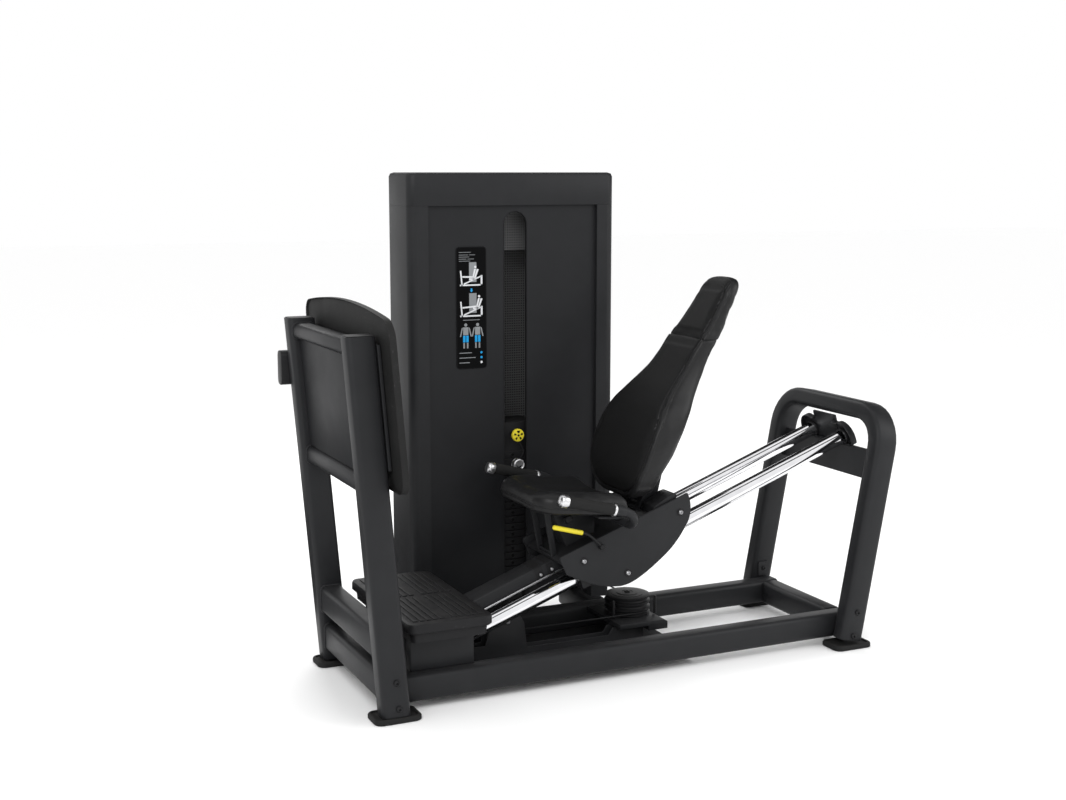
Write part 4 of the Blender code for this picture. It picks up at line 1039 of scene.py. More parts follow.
def front_sheet(low, high):
    """The recessed sheet with its round-topped slot and the slot's folded lip."""
    x0, x1 = low.x - MID_X, high.x - MID_X
    y0 = low.y - MID_Y
    slot = slot_outline()
    body = bmesh.new()
    outer = [(x0, low.z), (x1, low.z), (x1, high.z), (x0, high.z)]
    rim_out = [body.verts.new(spot(x, y0, z)) for x, z in outer]
    rim_in = [body.verts.new(spot(x, y0, z)) for x, z in slot]
    edges = [body.edges.new((loop[i - 1], loop[i])) for loop in (rim_out, rim_in) for i in range(len(loop))]
    bmesh.ops.triangle_fill(body, use_beauty=True, use_dissolve=False, edges=edges)
    doomed = [f for f in body.faces if inside_slot(f.calc_center_median())]
    bmesh.ops.delete(body, geom=doomed, context="FACES_ONLY")
    bmesh.ops.recalc_face_normals(body, faces=body.faces)
    extruded = bmesh.ops.extrude_face_region(body, geom=body.faces[:])
    moved = [v for v in extruded["geom"] if isinstance(v, bmesh.types.BMVert)]
    bmesh.ops.translate(body, verts=moved, vec=Y * 0.004)
    finished("tower_front_sheet", body, "panel_coat", "frame", ("tower_front_panel",), sharp=30)
    rings = []
    for y, grow in ((0.0005, 0.0), (-0.0012, 0.0006), (-0.0016, 0.0016), (-0.0012, 0.0026), (0.0002, 0.0032),
                    (0.012, 0.0)):
        rings.append([spot(x, y0 + y, z) for x, z in slot_outline(grow)])
    finished("slot_lip", loft(rings, closed_ends=False), "black_plastic", "frame", sharp=50)


def inside_slot(point):
    """True if a point is within the slot's outline."""
    x, z = point.x - MID_X - STACK_X, point.z
    if abs(x) > SLOT_HALF or z < SLOT_BOTTOM:
        return False
    over = z - (SLOT_TOP - SLOT_HALF)
    return over < 0 or hypot(x, over) < SLOT_HALF


def perforated_sheet():
    """Sheet metal with a square pattern of round holes: the holes painted near-black as painted shade for the space
    behind them, with relief.
    """
    material, t, shader = new_material("perforated_sheet")
    coordinates = t.node("ShaderNodeTexCoord")
    axes = t.node("ShaderNodeSeparateXYZ")
    t.link(coordinates.outputs["Object"], axes.inputs[0])
    pitch = 2 * pi / 0.009
    one = t.math("COSINE", t.math("MULTIPLY", axes.outputs["X"], pitch))
    two = t.math("COSINE", t.math("MULTIPLY", axes.outputs["Z"], pitch))
    web = t.remap(t.math("ADD", one, two), 0.55, 0.75, 1.0, 0.0)
    # The holes are painted near-black: painted shade where the space behind the sheet would show.
    t.link(mix_colour(t, web, (0.008, 0.008, 0.008), (0.120, 0.121, 0.123)), shader.inputs["Base Color"])
    shader.inputs["Roughness"].default_value = 0.55
    bump(t, shader, web, 0.5, 0.001)
    return material


FINISH["perforated_sheet"] = perforated_sheet()


# ------------------------------------------------------------------------ cushions
VOXEL, SWELL_PRESSURE, SWELL_FRAMES = 0.006, 4.0, 20


def swollen(name, blank, reach):
    """Even out a cushion's blank, let cloth under pressure swell it, and hold every point within reach."""
    bmesh.ops.recalc_face_normals(blank, faces=blank.faces)
    obj = new_object(name, mesh_from(name, blank))
    even = obj.modifiers.new("even", "REMESH")
    even.mode = "VOXEL"
    even.voxel_size = VOXEL
    apply_modifiers(obj)
    start = [v.co.copy() for v in obj.data.vertices]
    cloth = obj.modifiers.new("swell", "CLOTH")
    cloth.settings.use_pressure = True
    cloth.settings.uniform_pressure_force = SWELL_PRESSURE
    cloth.settings.effector_weights.gravity = 0.0
    for number in range(1, SWELL_FRAMES + 1):
        bpy.context.scene.frame_set(number)
    apply_modifiers(obj)
    bpy.context.scene.frame_set(1)
    for vertex, place in zip(obj.data.vertices, start):
        moved = vertex.co - place
        allowed = reach(place)
        if moved.length > allowed:
            vertex.co = place + moved.normalized() * allowed
    ease = obj.modifiers.new("ease", "SMOOTH")
    ease.factor = 0.5
    ease.iterations = 8
    finer = obj.modifiers.new("finer", "SUBSURF")
    finer.levels = finer.render_levels = 1
    apply_modifiers(obj)
    return obj


def dress(obj, finishes, replaces, pick=None):
    """Materials, body and replaced CAD node of a finished cushion; `pick` gives the number of each face's finish."""
    obj.data.materials.clear()
    for finish in finishes:
        obj.data.materials.append(FINISH[finish])
    for face in obj.data.polygons:
        face.material_index = pick(face) if pick else 0
    obj.data.shade_smooth()
    settle(obj, "seat_carriage", replaces)


def press(obj, change):
    """Move each vertex along its own normal by change(place, normal)."""
    normals = [v.normal.copy() for v in obj.data.vertices]
    for vertex, normal in zip(obj.data.vertices, normals):
        vertex.co += normal * change(vertex.co, normal)
    obj.data.update()


def on_surface(obj, points, direction, lift=0.0):
    """Where rays through the points first meet the cushion, raised by `lift`."""
    found = []
    for point in points:
        hit, place, normal, _ = obj.ray_cast(point - direction * 0.5, direction)
        if hit:
            found.append(place + normal * lift)
    return found


STITCH_PITCH = 0.0055


def stitched(name, path):
    """A row of short raised stitches along a path of points."""
    places, carried = [], 0.0
    for one, two in zip(path, path[1:]):
        span = (two - one).length
        while carried < span:
            places.append((one.lerp(two, carried / span), (two - one).normalized()))
            carried += STITCH_PITCH
        carried -= span
    stitch = turned([(0.0002, -0.0019), (0.0006, -0.0014), (0.0007, 0), (0.0006, 0.0014), (0.0002, 0.0019)],
                    Vector(), Z, 8)
    repeated(name, stitch, places, "vinyl_thread", "seat_carriage", sharp=60)


def seat_under(x):
    """Underside of the seat pad: it falls gently to the rear."""
    return 0.548 - 0.105 * (x + 0.330)


def plan_ring(inset):
    """The seat's outline in plan, round at the front, drawn in by `inset`."""
    ring = arc((-0.240, 0.110), 0.090 - inset, 180, 90, 10)
    ring += arc((-0.010, 0.180), 0.020 - min(inset, 0.015), 90, 0, 4)
    ring += arc((-0.010, -0.180), 0.020 - min(inset, 0.015), 0, -90, 4)
    ring += arc((-0.240, -0.110), 0.090 - inset, 270, 180, 10)
    made = []
    for i, (x, y) in enumerate(ring):
        shift = inset if 11 <= i <= 20 else 0.0
        made.append((x - max(shift - 0.015, 0), y - max(inset - 0.015, 0) * (1 if y > 0 else -1) * (1 if shift else 0)))
    return made


def seat():
    """The seat: thick and round at the front, with firm sides and a shallow hollow to sit in."""
    rings = []
    for lift, inset in ((0.001, 0.030), (0.003, 0.018), (0.009, 0.007), (0.018, 0.003), (0.034, 0.003), (0.046, 0.006),
                        (0.056, 0.013), (0.062, 0.024), (0.065, 0.040)):
        rings.append([spot(x, y, seat_under(x) + lift) for x, y in plan_ring(inset)])

    def reach(place):
        """How far the swelling may move a point: little near the seat's flat underside."""
        lift = place.z - seat_under(place.x - MID_X)
        return 0.002 if lift < 0.012 else 0.009

    obj = swollen("seat_cushion", loft(rings), reach)
    for vertex in obj.data.vertices:
        x, y = vertex.co.x - MID_X, vertex.co.y - MID_Y
        top = min(max((vertex.co.z - seat_under(x) - 0.035) / 0.02, 0.0), 1.0)
        along = min(max((x + 0.315) / 0.10, 0.0), 1.0)
        across = max(1.0 - (abs(y) / 0.150) ** 2.2, 0.0)
        vertex.co.z -= 0.017 * top * along * across
    obj.data.update()
    crease = 0.148

    def seams(place, normal):
        """A crease down each side of the top, joined by a curve at the front."""
        if normal.z < 0.2:
            return 0.0
        x, y = place.x - MID_X, place.y - MID_Y
        off = abs(abs(y) - crease)
        if x < -0.240:
            off = abs(hypot(x + 0.240, abs(y)) - crease) if x > -0.300 else 1.0
        return -0.0028 * exp(-(off / 0.0035) ** 2) if x > -0.262 else 0.0

    press(obj, seams)
    dress(obj, ("vinyl",), ("seat_pad",))
    for side, sign in SIDES:
        for k, inset in enumerate((-0.006, 0.006)):
            line = [spot(x, sign * (crease + inset), 0.7) for x in (-0.262 + 0.010 * i for i in range(26))]
            path = on_surface(obj, line, -Z, 0.0001)
            stitched(side + "_seat_stitches_%d" % k, path)
    band = [spot(x, y, seat_under(x) + 0.022) for x, y in plan_ring(-0.02)]
    middle = spot(-0.150, 0, 0)
    welt = []
    for point in band:
        inward = Vector((middle.x - point.x, middle.y - point.y, 0)).normalized()
        welt += on_surface(obj, [point + inward * 0.02], inward, -0.0004)
    finished("seat_welt", sweep(circle(0.0026, 8), welt + welt[:1], Z), "vinyl", "seat_carriage", sharp=60)


# height, x of the front face, half width, depth front to back
BACK_STATIONS = ((0.544, 0.056, 0.075, 0.050), (0.556, 0.042, 0.115, 0.075), (0.580, 0.034, 0.155, 0.096),
                 (0.615, 0.034, 0.184, 0.106), (0.650, 0.038, 0.200, 0.113), (0.700, 0.051, 0.211, 0.124),
                 (0.750, 0.068, 0.213, 0.131), (0.800, 0.091, 0.208, 0.134), (0.850, 0.123, 0.193, 0.131),
                 (0.900, 0.167, 0.165, 0.120), (0.950, 0.216, 0.143, 0.104), (1.000, 0.257, 0.130, 0.092),
                 (1.073, 0.310, 0.122, 0.081))
HEAD_STATIONS = ((1.065, 0.305, 0.122, 0.080), (1.110, 0.335, 0.117, 0.077), (1.150, 0.362, 0.110, 0.074),
                 (1.190, 0.388, 0.104, 0.071), (1.225, 0.410, 0.097, 0.067), (1.250, 0.426, 0.087, 0.060),
                 (1.264, 0.438, 0.072, 0.048), (1.271, 0.450, 0.048, 0.030))


def cushion_ring(z, x, half, deep, inset):
    """A level section: tight corners in front, round ones behind."""
    front, rear = min(0.020, deep * 0.3), min(0.048, deep * 0.45)
    ring = []
    for centre, radius, start in (((front, half - front), front, 180), ((deep - rear, half - rear), rear, 90),
                                  ((deep - rear, rear - half), rear, 0), ((front, front - half), front, 270)):
        ring += arc(centre, radius, start, start - 90, 6)
    scale_a, scale_b = 1 - 2 * inset / deep, 1 - inset / half
    return [spot(x + deep / 2 + (a - deep / 2) * scale_a, b * scale_b, z) for a, b in ring]


SEAM = 0.0255


def upright_cushion(name, node, stations, open_low):
    """A back cushion: cloth panel in front inside a seam, a rolled edge, and smooth sides.

    The back pad is closed below and meets the headrest above; the headrest is the other way round (`open_low`).
    """
    rings = [cushion_ring(*station, 0.004) for station in smooth_line(stations, 5)]
    lowest, highest = stations[0][0], stations[-1][0]

    def reach(place):
        """How far the swelling may move a point: less at both ends, where the pads are closed or meet."""
        low_end, high_end = (0.03, 0.05) if open_low else (0.05, 0.03)
        return 0.0025 if place.z < lowest + low_end or place.z > highest - high_end else 0.006

    obj = swollen(name, loft(rings), reach)
    edge = [(half, z) for z, _, half, _ in stations]
    if open_low:
        edge[-4:] = [(edge[-4][0] * 0.95, highest + 0.03)]
    else:
        edge.insert(0, (0.0, lowest))

    def margin(place):
        """Distance from the front face's edge, down both sides and round the pad's lower end."""
        y, z = abs(place.y - MID_Y), place.z
        nearest = 1.0
        for (y0, z0), (y1, z1) in zip(edge, edge[1:]):
            if not min(z0, z1) - 0.045 < z < max(z0, z1) + 0.045:
                continue
            span = (y1 - y0) ** 2 + (z1 - z0) ** 2
            t = min(max(((y - y0) * (y1 - y0) + (z - z0) * (z1 - z0)) / span, 0.0), 1.0)
            nearest = min(nearest, hypot(y - y0 - t * (y1 - y0), z - z0 - t * (z1 - z0)))
        return nearest

    def faces_front(normal):
        return normal.x < -0.35

    def tailoring(place, normal):
        """A rolled edge outside the seam, and a crease along it."""
        if not faces_front(normal):
            return 0.0
        off = margin(place)
        return 0.0028 * exp(-((off - 0.012) / 0.007) ** 2) - 0.0042 * exp(-((off - SEAM) / 0.0036) ** 2)

    def finish_of(face):
        return 0 if faces_front(face.normal) and margin(face.center) > SEAM else 1

    press(obj, tailoring)
    dress(obj, ("seat_fabric", "vinyl"), (node,), finish_of)
    return obj


def seam_line(stations, closed_low):
    """The panel's seam on the front face as (y, z): the edge moved in, round the lower end if it is closed."""
    fine = [(half, z) for z, _, half, _ in smooth_line(stations, 6)]
    if closed_low:
        fine = [(fine[0][0] * i / 5, fine[0][1]) for i in range(5)] + fine
    made = []
    for i, (y, z) in enumerate(fine):
        y0, z0 = fine[max(i - 1, 0)]
        y1, z1 = fine[min(i + 1, len(fine) - 1)]
        length = hypot(y1 - y0, z1 - z0)
        point = (y - (z1 - z0) / length * SEAM, z + (y1 - y0) / length * SEAM)
        if point[0] > 0.001 and (not made or point[1] > made[-1][1] - 0.004):
            made.append(point)
    return made


def back_cushions():
    """Back pad and headrest, with a welt sewn in along the panel's seams."""
    kinds = (("back", "back_pad", BACK_STATIONS, True, 0.004), ("head", "headrest_pad", HEAD_STATIONS, False, 0.012))
    cushions = [upright_cushion(label + "_cushion", node, stations, not closed_low)
                for label, node, stations, closed_low, _ in kinds]
    for obj, (label, _, stations, closed_low, trim) in zip(cushions, kinds):
        half = [(y, z) for y, z in seam_line(stations, closed_low) if z < stations[-1][0] - trim]
        other = [(-y, z) for y, z in half]
        for number, run in enumerate([other[::-1] + half] if closed_low else [half, other]):
            path = on_surface(obj, [spot(0, y, z) for y, z in run], X)
            finished("%s_welt_%d" % (label, number), sweep(circle(0.0014, 8), path, X), "vinyl", "seat_carriage",
                     sharp=60)


# ------------------------------------------------------------------------ carriage
def side_plates():
    """The carriage's two cut plates, with bolts on dark washers."""
    lower_edge = ((-0.2035, 0.3325), (-0.1200, 0.2950), (-0.0645, 0.2785), (-0.0300, 0.2740), (0.0013, 0.2735),
                  (0.0364, 0.2821), (0.0832, 0.3065), (0.1303, 0.3386), (0.1776, 0.3762), (0.2130, 0.4154),
                  (0.2366, 0.4505), (0.2483, 0.4708), (0.2555, 0.5023), (0.2535, 0.5350), (0.2450, 0.5590))
    outline = [(-0.226, 0.3945), (-0.229, 0.388), (-0.228, 0.380)] + smooth_line(lower_edge, 5)
    outline += [(0.2430, 0.5630), (0.2390, 0.5630)]
    screws, washers = [], []
    for side, sign in SIDES:
        finished(side + "_side_plate_piece", prism(outline, *mirrored(0.140, 0.148, sign)), "powder_coat",
                 "seat_carriage", (side + "_side_plate",), sharp=25, bevel=0.0012)
        for x, z in ((-0.144, 0.3725), (0.019, 0.315), (0.216, 0.501)):
            place = spot(x, sign * 0.1480, z)
            washers.append(turned([(0.004, 0), (0.0134, 0), (0.0134, 0.0012), (0.0126, 0.0018), (0.004, 0.0018)], place,
                                  Y * sign, 32))
            screws.append((place + Y * sign * 0.0018, Y * sign))
    finished("side_plate_washers", merged(washers), "black_plastic", "seat_carriage", recalc=False)
    bolts("side_plate_bolts", screws, "seat_carriage", "zinc", 0.0082, 0.0055)


HANDLE_X, HANDLE_Y, HANDLE_R = -0.020, 0.290, 0.0145
HANDLE_LOW, GRIP_END = 0.4995, 0.192
TIP_X, TIP_Z, HANDLE_DROP = -0.301, 0.618, tan(radians(14.2))


def along_handle(x, y):
    """A place on the line of the straight part of the handle."""
    return spot(x, y, TIP_Z - (x - TIP_X) * HANDLE_DROP)


def bent_handle():
    """Half of the handle's line: straight from the tip, then a bend down and in under the seat."""
    start, end = along_handle(-0.075, HANDLE_Y), spot(HANDLE_X, 0.215, HANDLE_LOW)
    pull_start, pull_end = along_handle(-0.028, HANDLE_Y), spot(HANDLE_X, 0.268, HANDLE_LOW)
    half = [along_handle(TIP_X + 0.004, HANDLE_Y)]
    for i in range(31):
        t = i / 30
        u = 1 - t
        half.append(start * u ** 3 + pull_start * 3 * t * u ** 2 + pull_end * 3 * t * t * u + end * t ** 3)
    return half


def grip_profile():
    """A rubber grip with fine rings, from its cap to its aluminium ring."""
    profile = [(0.0150, 0.0278), (0.0183, 0.0280), (0.0190, 0.0300)]
    for k in range(36):
        at = 0.034 + k * (GRIP_END - 0.040) / 36
        profile += [(0.0187, at), (0.01855, at + 0.0012), (0.01855, at + 0.0024), (0.0187, at + 0.0036)]
    return profile + [(0.0192, GRIP_END - 0.002), (0.0188, GRIP_END), (0.0150, GRIP_END)]


def handles():
    """The bent tube, rubber grips, turned aluminium caps and rings, and the sleeves behind them."""
    half = bent_handle()
    other = [Vector((p.x, 2 * MID_Y - p.y, p.z)) for p in reversed(half)]
    finished("handle_tube", sweep(circle(HANDLE_R, 32), half + other, Z), "powder_coat", "seat_carriage",
             ("handle_bar",), sharp=50)
    back = (along_handle(0, 0) - along_handle(TIP_X, 0)).normalized()
    cap = [(0.004, 0.0), (0.0130, 0.0006), (0.0175, 0.0030), (0.0200, 0.0080), (0.0205, 0.0120), (0.0205, 0.0255),
           (0.0195, 0.0275), (0.0150, 0.0275)]
    ring = [(0.0150, 0.0), (0.0200, 0.0), (0.0212, 0.002), (0.0212, 0.006), (0.0200, 0.008), (0.0150, 0.008)]
    sleeve = [(0.0140, 0.008), (0.0172, 0.008), (0.0176, 0.012), (0.0176, 0.040), (0.0160, 0.044), (0.0140, 0.044)]
    tips = [along_handle(TIP_X, sign * HANDLE_Y) for _, sign in SIDES]
    for (side, _), tip in zip(SIDES, tips):
        finished(side + "_grip_piece", turned(grip_profile(), tip, back, 48), "rubber", "seat_carriage",
                 (side + "_grip",), sharp=60)
    for name, profile, offset, count, finish in (("handle_caps", cap, 0.0, 64, "satin_aluminium"),
                                                 ("handle_rings", ring, GRIP_END, 64, "satin_aluminium"),
                                                 ("handle_sleeves", sleeve, GRIP_END, 48, "powder_coat")):
        pieces = [turned([(r, offset + h) for r, h in profile], tip, back, count) for tip in tips]
        finished(name, merged(pieces), finish, "seat_carriage", recalc=False, sharp=40)


def seat_lever():
    """A bent black rod on a small boss, with a long yellow grip."""
    y = -0.1600
    corners = [spot(-0.084, y, 0.416), spot(-0.108, y, 0.440), spot(-0.126, y, 0.456), spot(-0.146, y, 0.468),
               spot(-0.170, y, 0.4747), spot(-0.254, y, 0.498)]
    rod = [Vector(p) for p in smooth_line([tuple(c) for c in corners], 8)]
    parts = [sweep(circle(0.0048, 16), rod, Y), turned([(0.004, -0.0115), (0.0098, -0.0115), (0.0098, 0.005),
                                                      (0.0085, 0.0068), (0.004, 0.0068)], corners[0], -Y, 32)]
    finished("lever_rod", merged(parts), "black_plastic", "seat_lever", recalc=False, sharp=40)
    start, end = spot(-0.156, y, 0.4708), spot(-0.262, y, 0.5002)
    axis, length = (end - start).normalized(), (end - start).length
    grip = [(0.0052, 0.0), (0.0074, 0.0010), (0.0078, 0.0030), (0.0078, length - 0.006), (0.0066, length - 0.002),
            (0.0040, length), (0.0010, length + 0.0004)]
    finished("lever_grip", turned(grip, start, axis, 32), "yellow_plastic", "seat_lever",
             ("seat_lever",), sharp=50)


def carriage_details():
    """What shows between the side plates: struts and a knob under the seat, the post's foot, lugs and flanges."""
    front, rear = -0.236, -0.175
    line = [on_slope(rear, 0.089), spot(front, 0, seat_under(front) - 0.002)]
    struts = [sweep(rounded_rect(0.010, 0.022, 0.003), [p + Y * y for p in line], X) for y in (-0.052, 0.052)]
    struts += [sweep(circle(0.005, 16), ends, Z) for ends in (
        [spot(front, y, seat_under(front) - 0.006) for y in (-0.056, 0.056)],
        [on_slope(rear, 0.096, y) for y in (-0.056, 0.056)])]
    finished("seat_struts", merged(struts), "powder_coat", "seat_carriage", recalc=False, sharp=40)
    knob = [(0.004, 0.0), (0.004, 0.018), (0.0120, 0.019), (0.0150, 0.023), (0.0150, 0.031), (0.0120, 0.036),
            (0.003, 0.038)]
    finished("seat_stop_knob", turned(knob, spot(-0.160, -0.036, 0.495), -Y, 32), "black_plastic", "seat_carriage",
             sharp=45)
    foot = [(0.010, 0.0), (0.050, 0.0), (0.050, 0.006), (0.047, 0.009), (0.036, 0.012), (0.034, 0.020), (0.028, 0.022)]
    finished("post_foot", turned(foot, on_slope(0.185, 0.0893), ACROSS, 48), "powder_coat", "seat_carriage",
             sharp=35)
    lug = [slope_xz(x, lift) for x, lift in ((0.150, 0.0905), (0.238, 0.0905), (0.252, 0.112), (0.246, 0.121),
                                             (0.228, 0.124), (0.162, 0.112))]
    flange = [(x, seat_under(x) - drop) for x, drop in ((-0.112, 0.0065), (-0.020, 0.0065), (-0.020, 0.0005),
                                                       (-0.112, 0.0005))]
    for name, outline, y0, y1, bevel in (("rear_lugs", lug, 0.052, 0.132, 0.004),
                                         ("seat_flanges", flange, 0.150, 0.190, 0.0015)):
        finished(name, merged([prism(outline, *mirrored(y0, y1, sign)) for sign in (-1, 1)]), "powder_coat",
                 "seat_carriage", recalc=False, sharp=30, bevel=bevel)
    holes = [(spot(-0.066, s * 0.172, seat_under(-0.066) - 0.0060), -Z) for s in (-1, 1)]
    bolts("seat_flange_bolts", holes, "seat_carriage", "zinc", 0.0075, 0.004)


def beam_details():
    """Collars and a bright wear strip on the pull beam, and the front pulley's bolts."""
    collars = []
    for x0, x1, grow in ((-0.252, -0.224, 0.0012), (-0.208, -0.188, 0.0016)):
        section = rounded_rect(0.090 + 2 * grow, 0.053 + 2 * grow, 0.009)
        collars.append(sweep(section, [on_slope(x0, 0.0485), on_slope(x1, 0.0485)], ACROSS))
    finished("beam_collars", merged(collars), "black_plastic", "press_beam", recalc=False, sharp=40)
    strips = [sweep(rounded_rect(0.002, 0.007, 0.0009), [on_slope(x, 0.030, s * 0.0456) for x in (-0.480, -0.150)],
                    ACROSS) for s in (-1, 1)]
    finished("beam_strips", merged(strips), "satin_aluminium", "press_beam", recalc=False, sharp=40)
    screws = [(on_slope(x, 0.0485, s * 0.0493), Y * s) for s in (-1, 1) for x in (-0.236, -0.196)]
    bolts("beam_screws", screws, "press_beam", "zinc", 0.0058, 0.004)
    places = [(spot(FRONT_PULLEY.x, s * 0.0240, FRONT_PULLEY.z), Y * s) for s in (-1, 1)]
    bolts("front_pulley_bolts", places, "frame", "zinc", 0.0105, 0.007)


def base_pulley_details():
    """Stepped dome over the flat pulley, its bolt, and the keeper pins beside it."""
    top = spot(BASE_PULLEY.x, BASE_PULLEY.y, 0.1715)
    dome = [(0.012, -0.001), (0.0775, -0.001), (0.0785, 0.0010), (0.0760, 0.0022), (0.0560, 0.0030), (0.0550, 0.0045),
            (0.0380, 0.0055), (0.0370, 0.0070), (0.0200, 0.0078), (0.0190, 0.0065), (0.0120, 0.0065)]
    finished("base_pulley_dome", turned(dome, top, Z, 96), "black_plastic", "base_pulley", sharp=25)
    bolts("base_pulley_bolt", [(top + Z * 0.0060, Z)], "base_pulley", "black_plastic", 0.0105, 0.005)
    pin = [(0.003, 0.0), (0.0048, 0.0), (0.0048, 0.060), (0.0035, 0.063), (0.001, 0.063)]
    pins = [turned(pin, spot(x, y, 0.1065), Z, 24) for x, y in ((0.219, 0.022), (0.056, 0.020))]
    finished("keeper_pins", merged(pins), "black_plastic", "frame", recalc=False, sharp=40)


HOOD_X = 0.9153


def hood_ring(outline, forward, scale=1.0):
    """The hood's outline, `forward` metres down the rods from their ends except at the flat tab."""
    made = []
    for y, lift in outline:
        below_tab = min(max((0.066 - lift) / 0.012, 0.0), 1.0)
        down = forward * below_tab if forward > 0 else forward
        made.append(on_slope(HOOD_X, lift * scale, y * scale) - SLOPE * down)
    return made


def rod_hood():
    """A plate square to the rods with a tab up to the hoop, its rim folded forward in lobes, and a cross plate."""
    low, high = box_of("rod_bracket")
    half = [(0.064, 0.0735), (0.058, 0.0620), (0.060, 0.0520), (0.072, 0.0490), (0.095, 0.0545), (0.118, 0.0500),
            (0.136, 0.0370), (0.147, 0.0180), (0.150, -0.0040), (0.146, -0.0240), (0.120, -0.0310)]
    right = smooth_line(half, 4)
    outline = right + [(-y, lift) for y, lift in reversed(right)]
    tray = loft([hood_ring(outline, *station) for station in (
        (-0.0065,), (0.012,), (0.014, 0.985), (0.014, 0.965), (0.012, 0.95), (-0.0005, 0.95))])
    tab = [(0.9075, 0.7180), (0.8990, 0.7390), (0.8905, 0.7650), (0.8975, 0.7712), (0.9060, 0.7440), (0.9145, 0.7230)]
    plate = [(hoop_x(z, dx), z) for z, dx in ((0.572, -0.004), (0.572, 0.004), (0.672, 0.004), (0.672, -0.004))]
    reach = (high.y - low.y) / 2
    finished("rod_hood_piece", merged([tray, prism(tab, -0.064, 0.064), prism(plate, -reach, reach)]), "powder_coat",
             "frame", ("rod_bracket",), recalc=False, sharp=35)
    socket = [(ROD_R + 0.0005, -0.010), (ROD_R + 0.003, -0.010), (ROD_R + 0.004, -0.008), (ROD_R + 0.004, -0.0002),
              (ROD_R + 0.0005, -0.0002)]
    sockets = [turned(socket, on_slope(0.9150, 0, sign * ROD_Y), SLOPE, 64) for sign in (-1, 1)]
    finished("rod_sockets", merged(sockets), "black_plastic", "frame", recalc=False, sharp=40)


# ------------------------------------------------------------------------ weight stack
STACK_Y0, STACK_Y1 = 0.407, 0.565
PLATE_PITCH, STACK_Z0, RESTING = 0.0263, 0.142, 17
HOLE_Z = STACK_Z0 + (RESTING + 0.5) * PLATE_PITCH


def plate_z(number):
    """Height of the middle of a plate, counted from the lowest."""
    return STACK_Z0 + (number + 0.5) * PLATE_PITCH


def weight_plates():
    """Seventeen cast plates with eased edges, and an eyelet for the pin in each and in the carried plate above, each
    eyelet filled by a near-black disc of painted shade for its hole.
    """
    middle = spot(STACK_X, (STACK_Y0 + STACK_Y1) / 2, 0)
    size = Vector((0.300, STACK_Y1 - STACK_Y0, PLATE_PITCH - 0.0022))
    plate = slab(-size / 2, size / 2, 0.0045, "Z", 0.0014)
    places = [(Vector((middle.x, middle.y, plate_z(i))), Z) for i in range(RESTING)]
    repeated("resting_plates", plate, places, "cast_plate", "frame", ("resting_weight_plates",))
    eyelet = [(0.0058, -0.001), (0.0085, -0.001), (0.0088, 0.0010), (0.0078, 0.0018), (0.0062, 0.0016),
              (0.0056, 0.0006), (0.0054, -0.001)]
    # A near-black disc in each eyelet: painted shade standing for the depth of the pin's hole.
    hole_shade_disc = [(0.0002, 0.0006), (0.0056, 0.0008), (0.0056, -0.002), (0.0002, -0.002)]
    for name, body, numbers in (("resting", "frame", range(RESTING)), ("carried", "stack_load", (RESTING + 1,))):
        spots = [(spot(STACK_X, STACK_Y0, plate_z(i)), -Y) for i in numbers]
        repeated(name + "_eyelets", turned(eyelet, Vector(), Z, 24), spots, "black_plastic", body)
        repeated(name + "_holes", turned(hole_shade_disc, Vector(), Z, 24), spots, "dark_print_and_hole_shade", body)


def stack_rods():
    """Polished rods that guide the stack."""
    for side in ("left", "right"):
        low, high = box_of(side + "_stack_guide_rod")
        foot = Vector(((low.x + high.x) / 2, (low.y + high.y) / 2, low.z))
        length, r = high.z - low.z, (high.x - low.x) / 2
        profile = [(r - 0.001, 0), (r, 0.001), (r, length - 0.001), (r - 0.001, length)]
        finished(side + "_stack_rod", turned(profile, foot, Z, 48), "chrome", "frame",
                 (side + "_stack_guide_rod",), sharp=30)


def selector_knob(face):
    """The pin's turned knob, with a crescent mark on its end."""
    shaft = [(0.0050, 0.030), (0.0050, -0.022), (0.0105, -0.024), (0.0105, -0.030), (0.0195, -0.034), (0.0213, -0.037),
             (0.0215, -0.041), (0.0208, -0.042), (0.0208, -0.044), (0.0215, -0.045), (0.0215, -0.053),
             (0.0200, -0.0565), (0.0165, -0.058), (0.0150, -0.0570), (0.0020, -0.0562)]
    finished("selector_knob", turned(shaft, face, Y, 64), "satin_aluminium", "selector_pin",
             ("selector_pin",), sharp=30)
    outer = arc((face.x, face.z), 0.0105, 200, 340, 10)
    inner = [(face.x + 0.0088 * a, face.z + 0.0020 + 0.0078 * b) for a, b in arc((0, 0), 1.0, 340, 200, 10)]
    mark = loft([[Vector((x, face.y - y, z)) for x, z in outer + inner] for y in (0.0564, 0.0572)])
    finished("selector_mark", mark, "dark_print_and_hole_shade", "selector_pin", sharp=40)


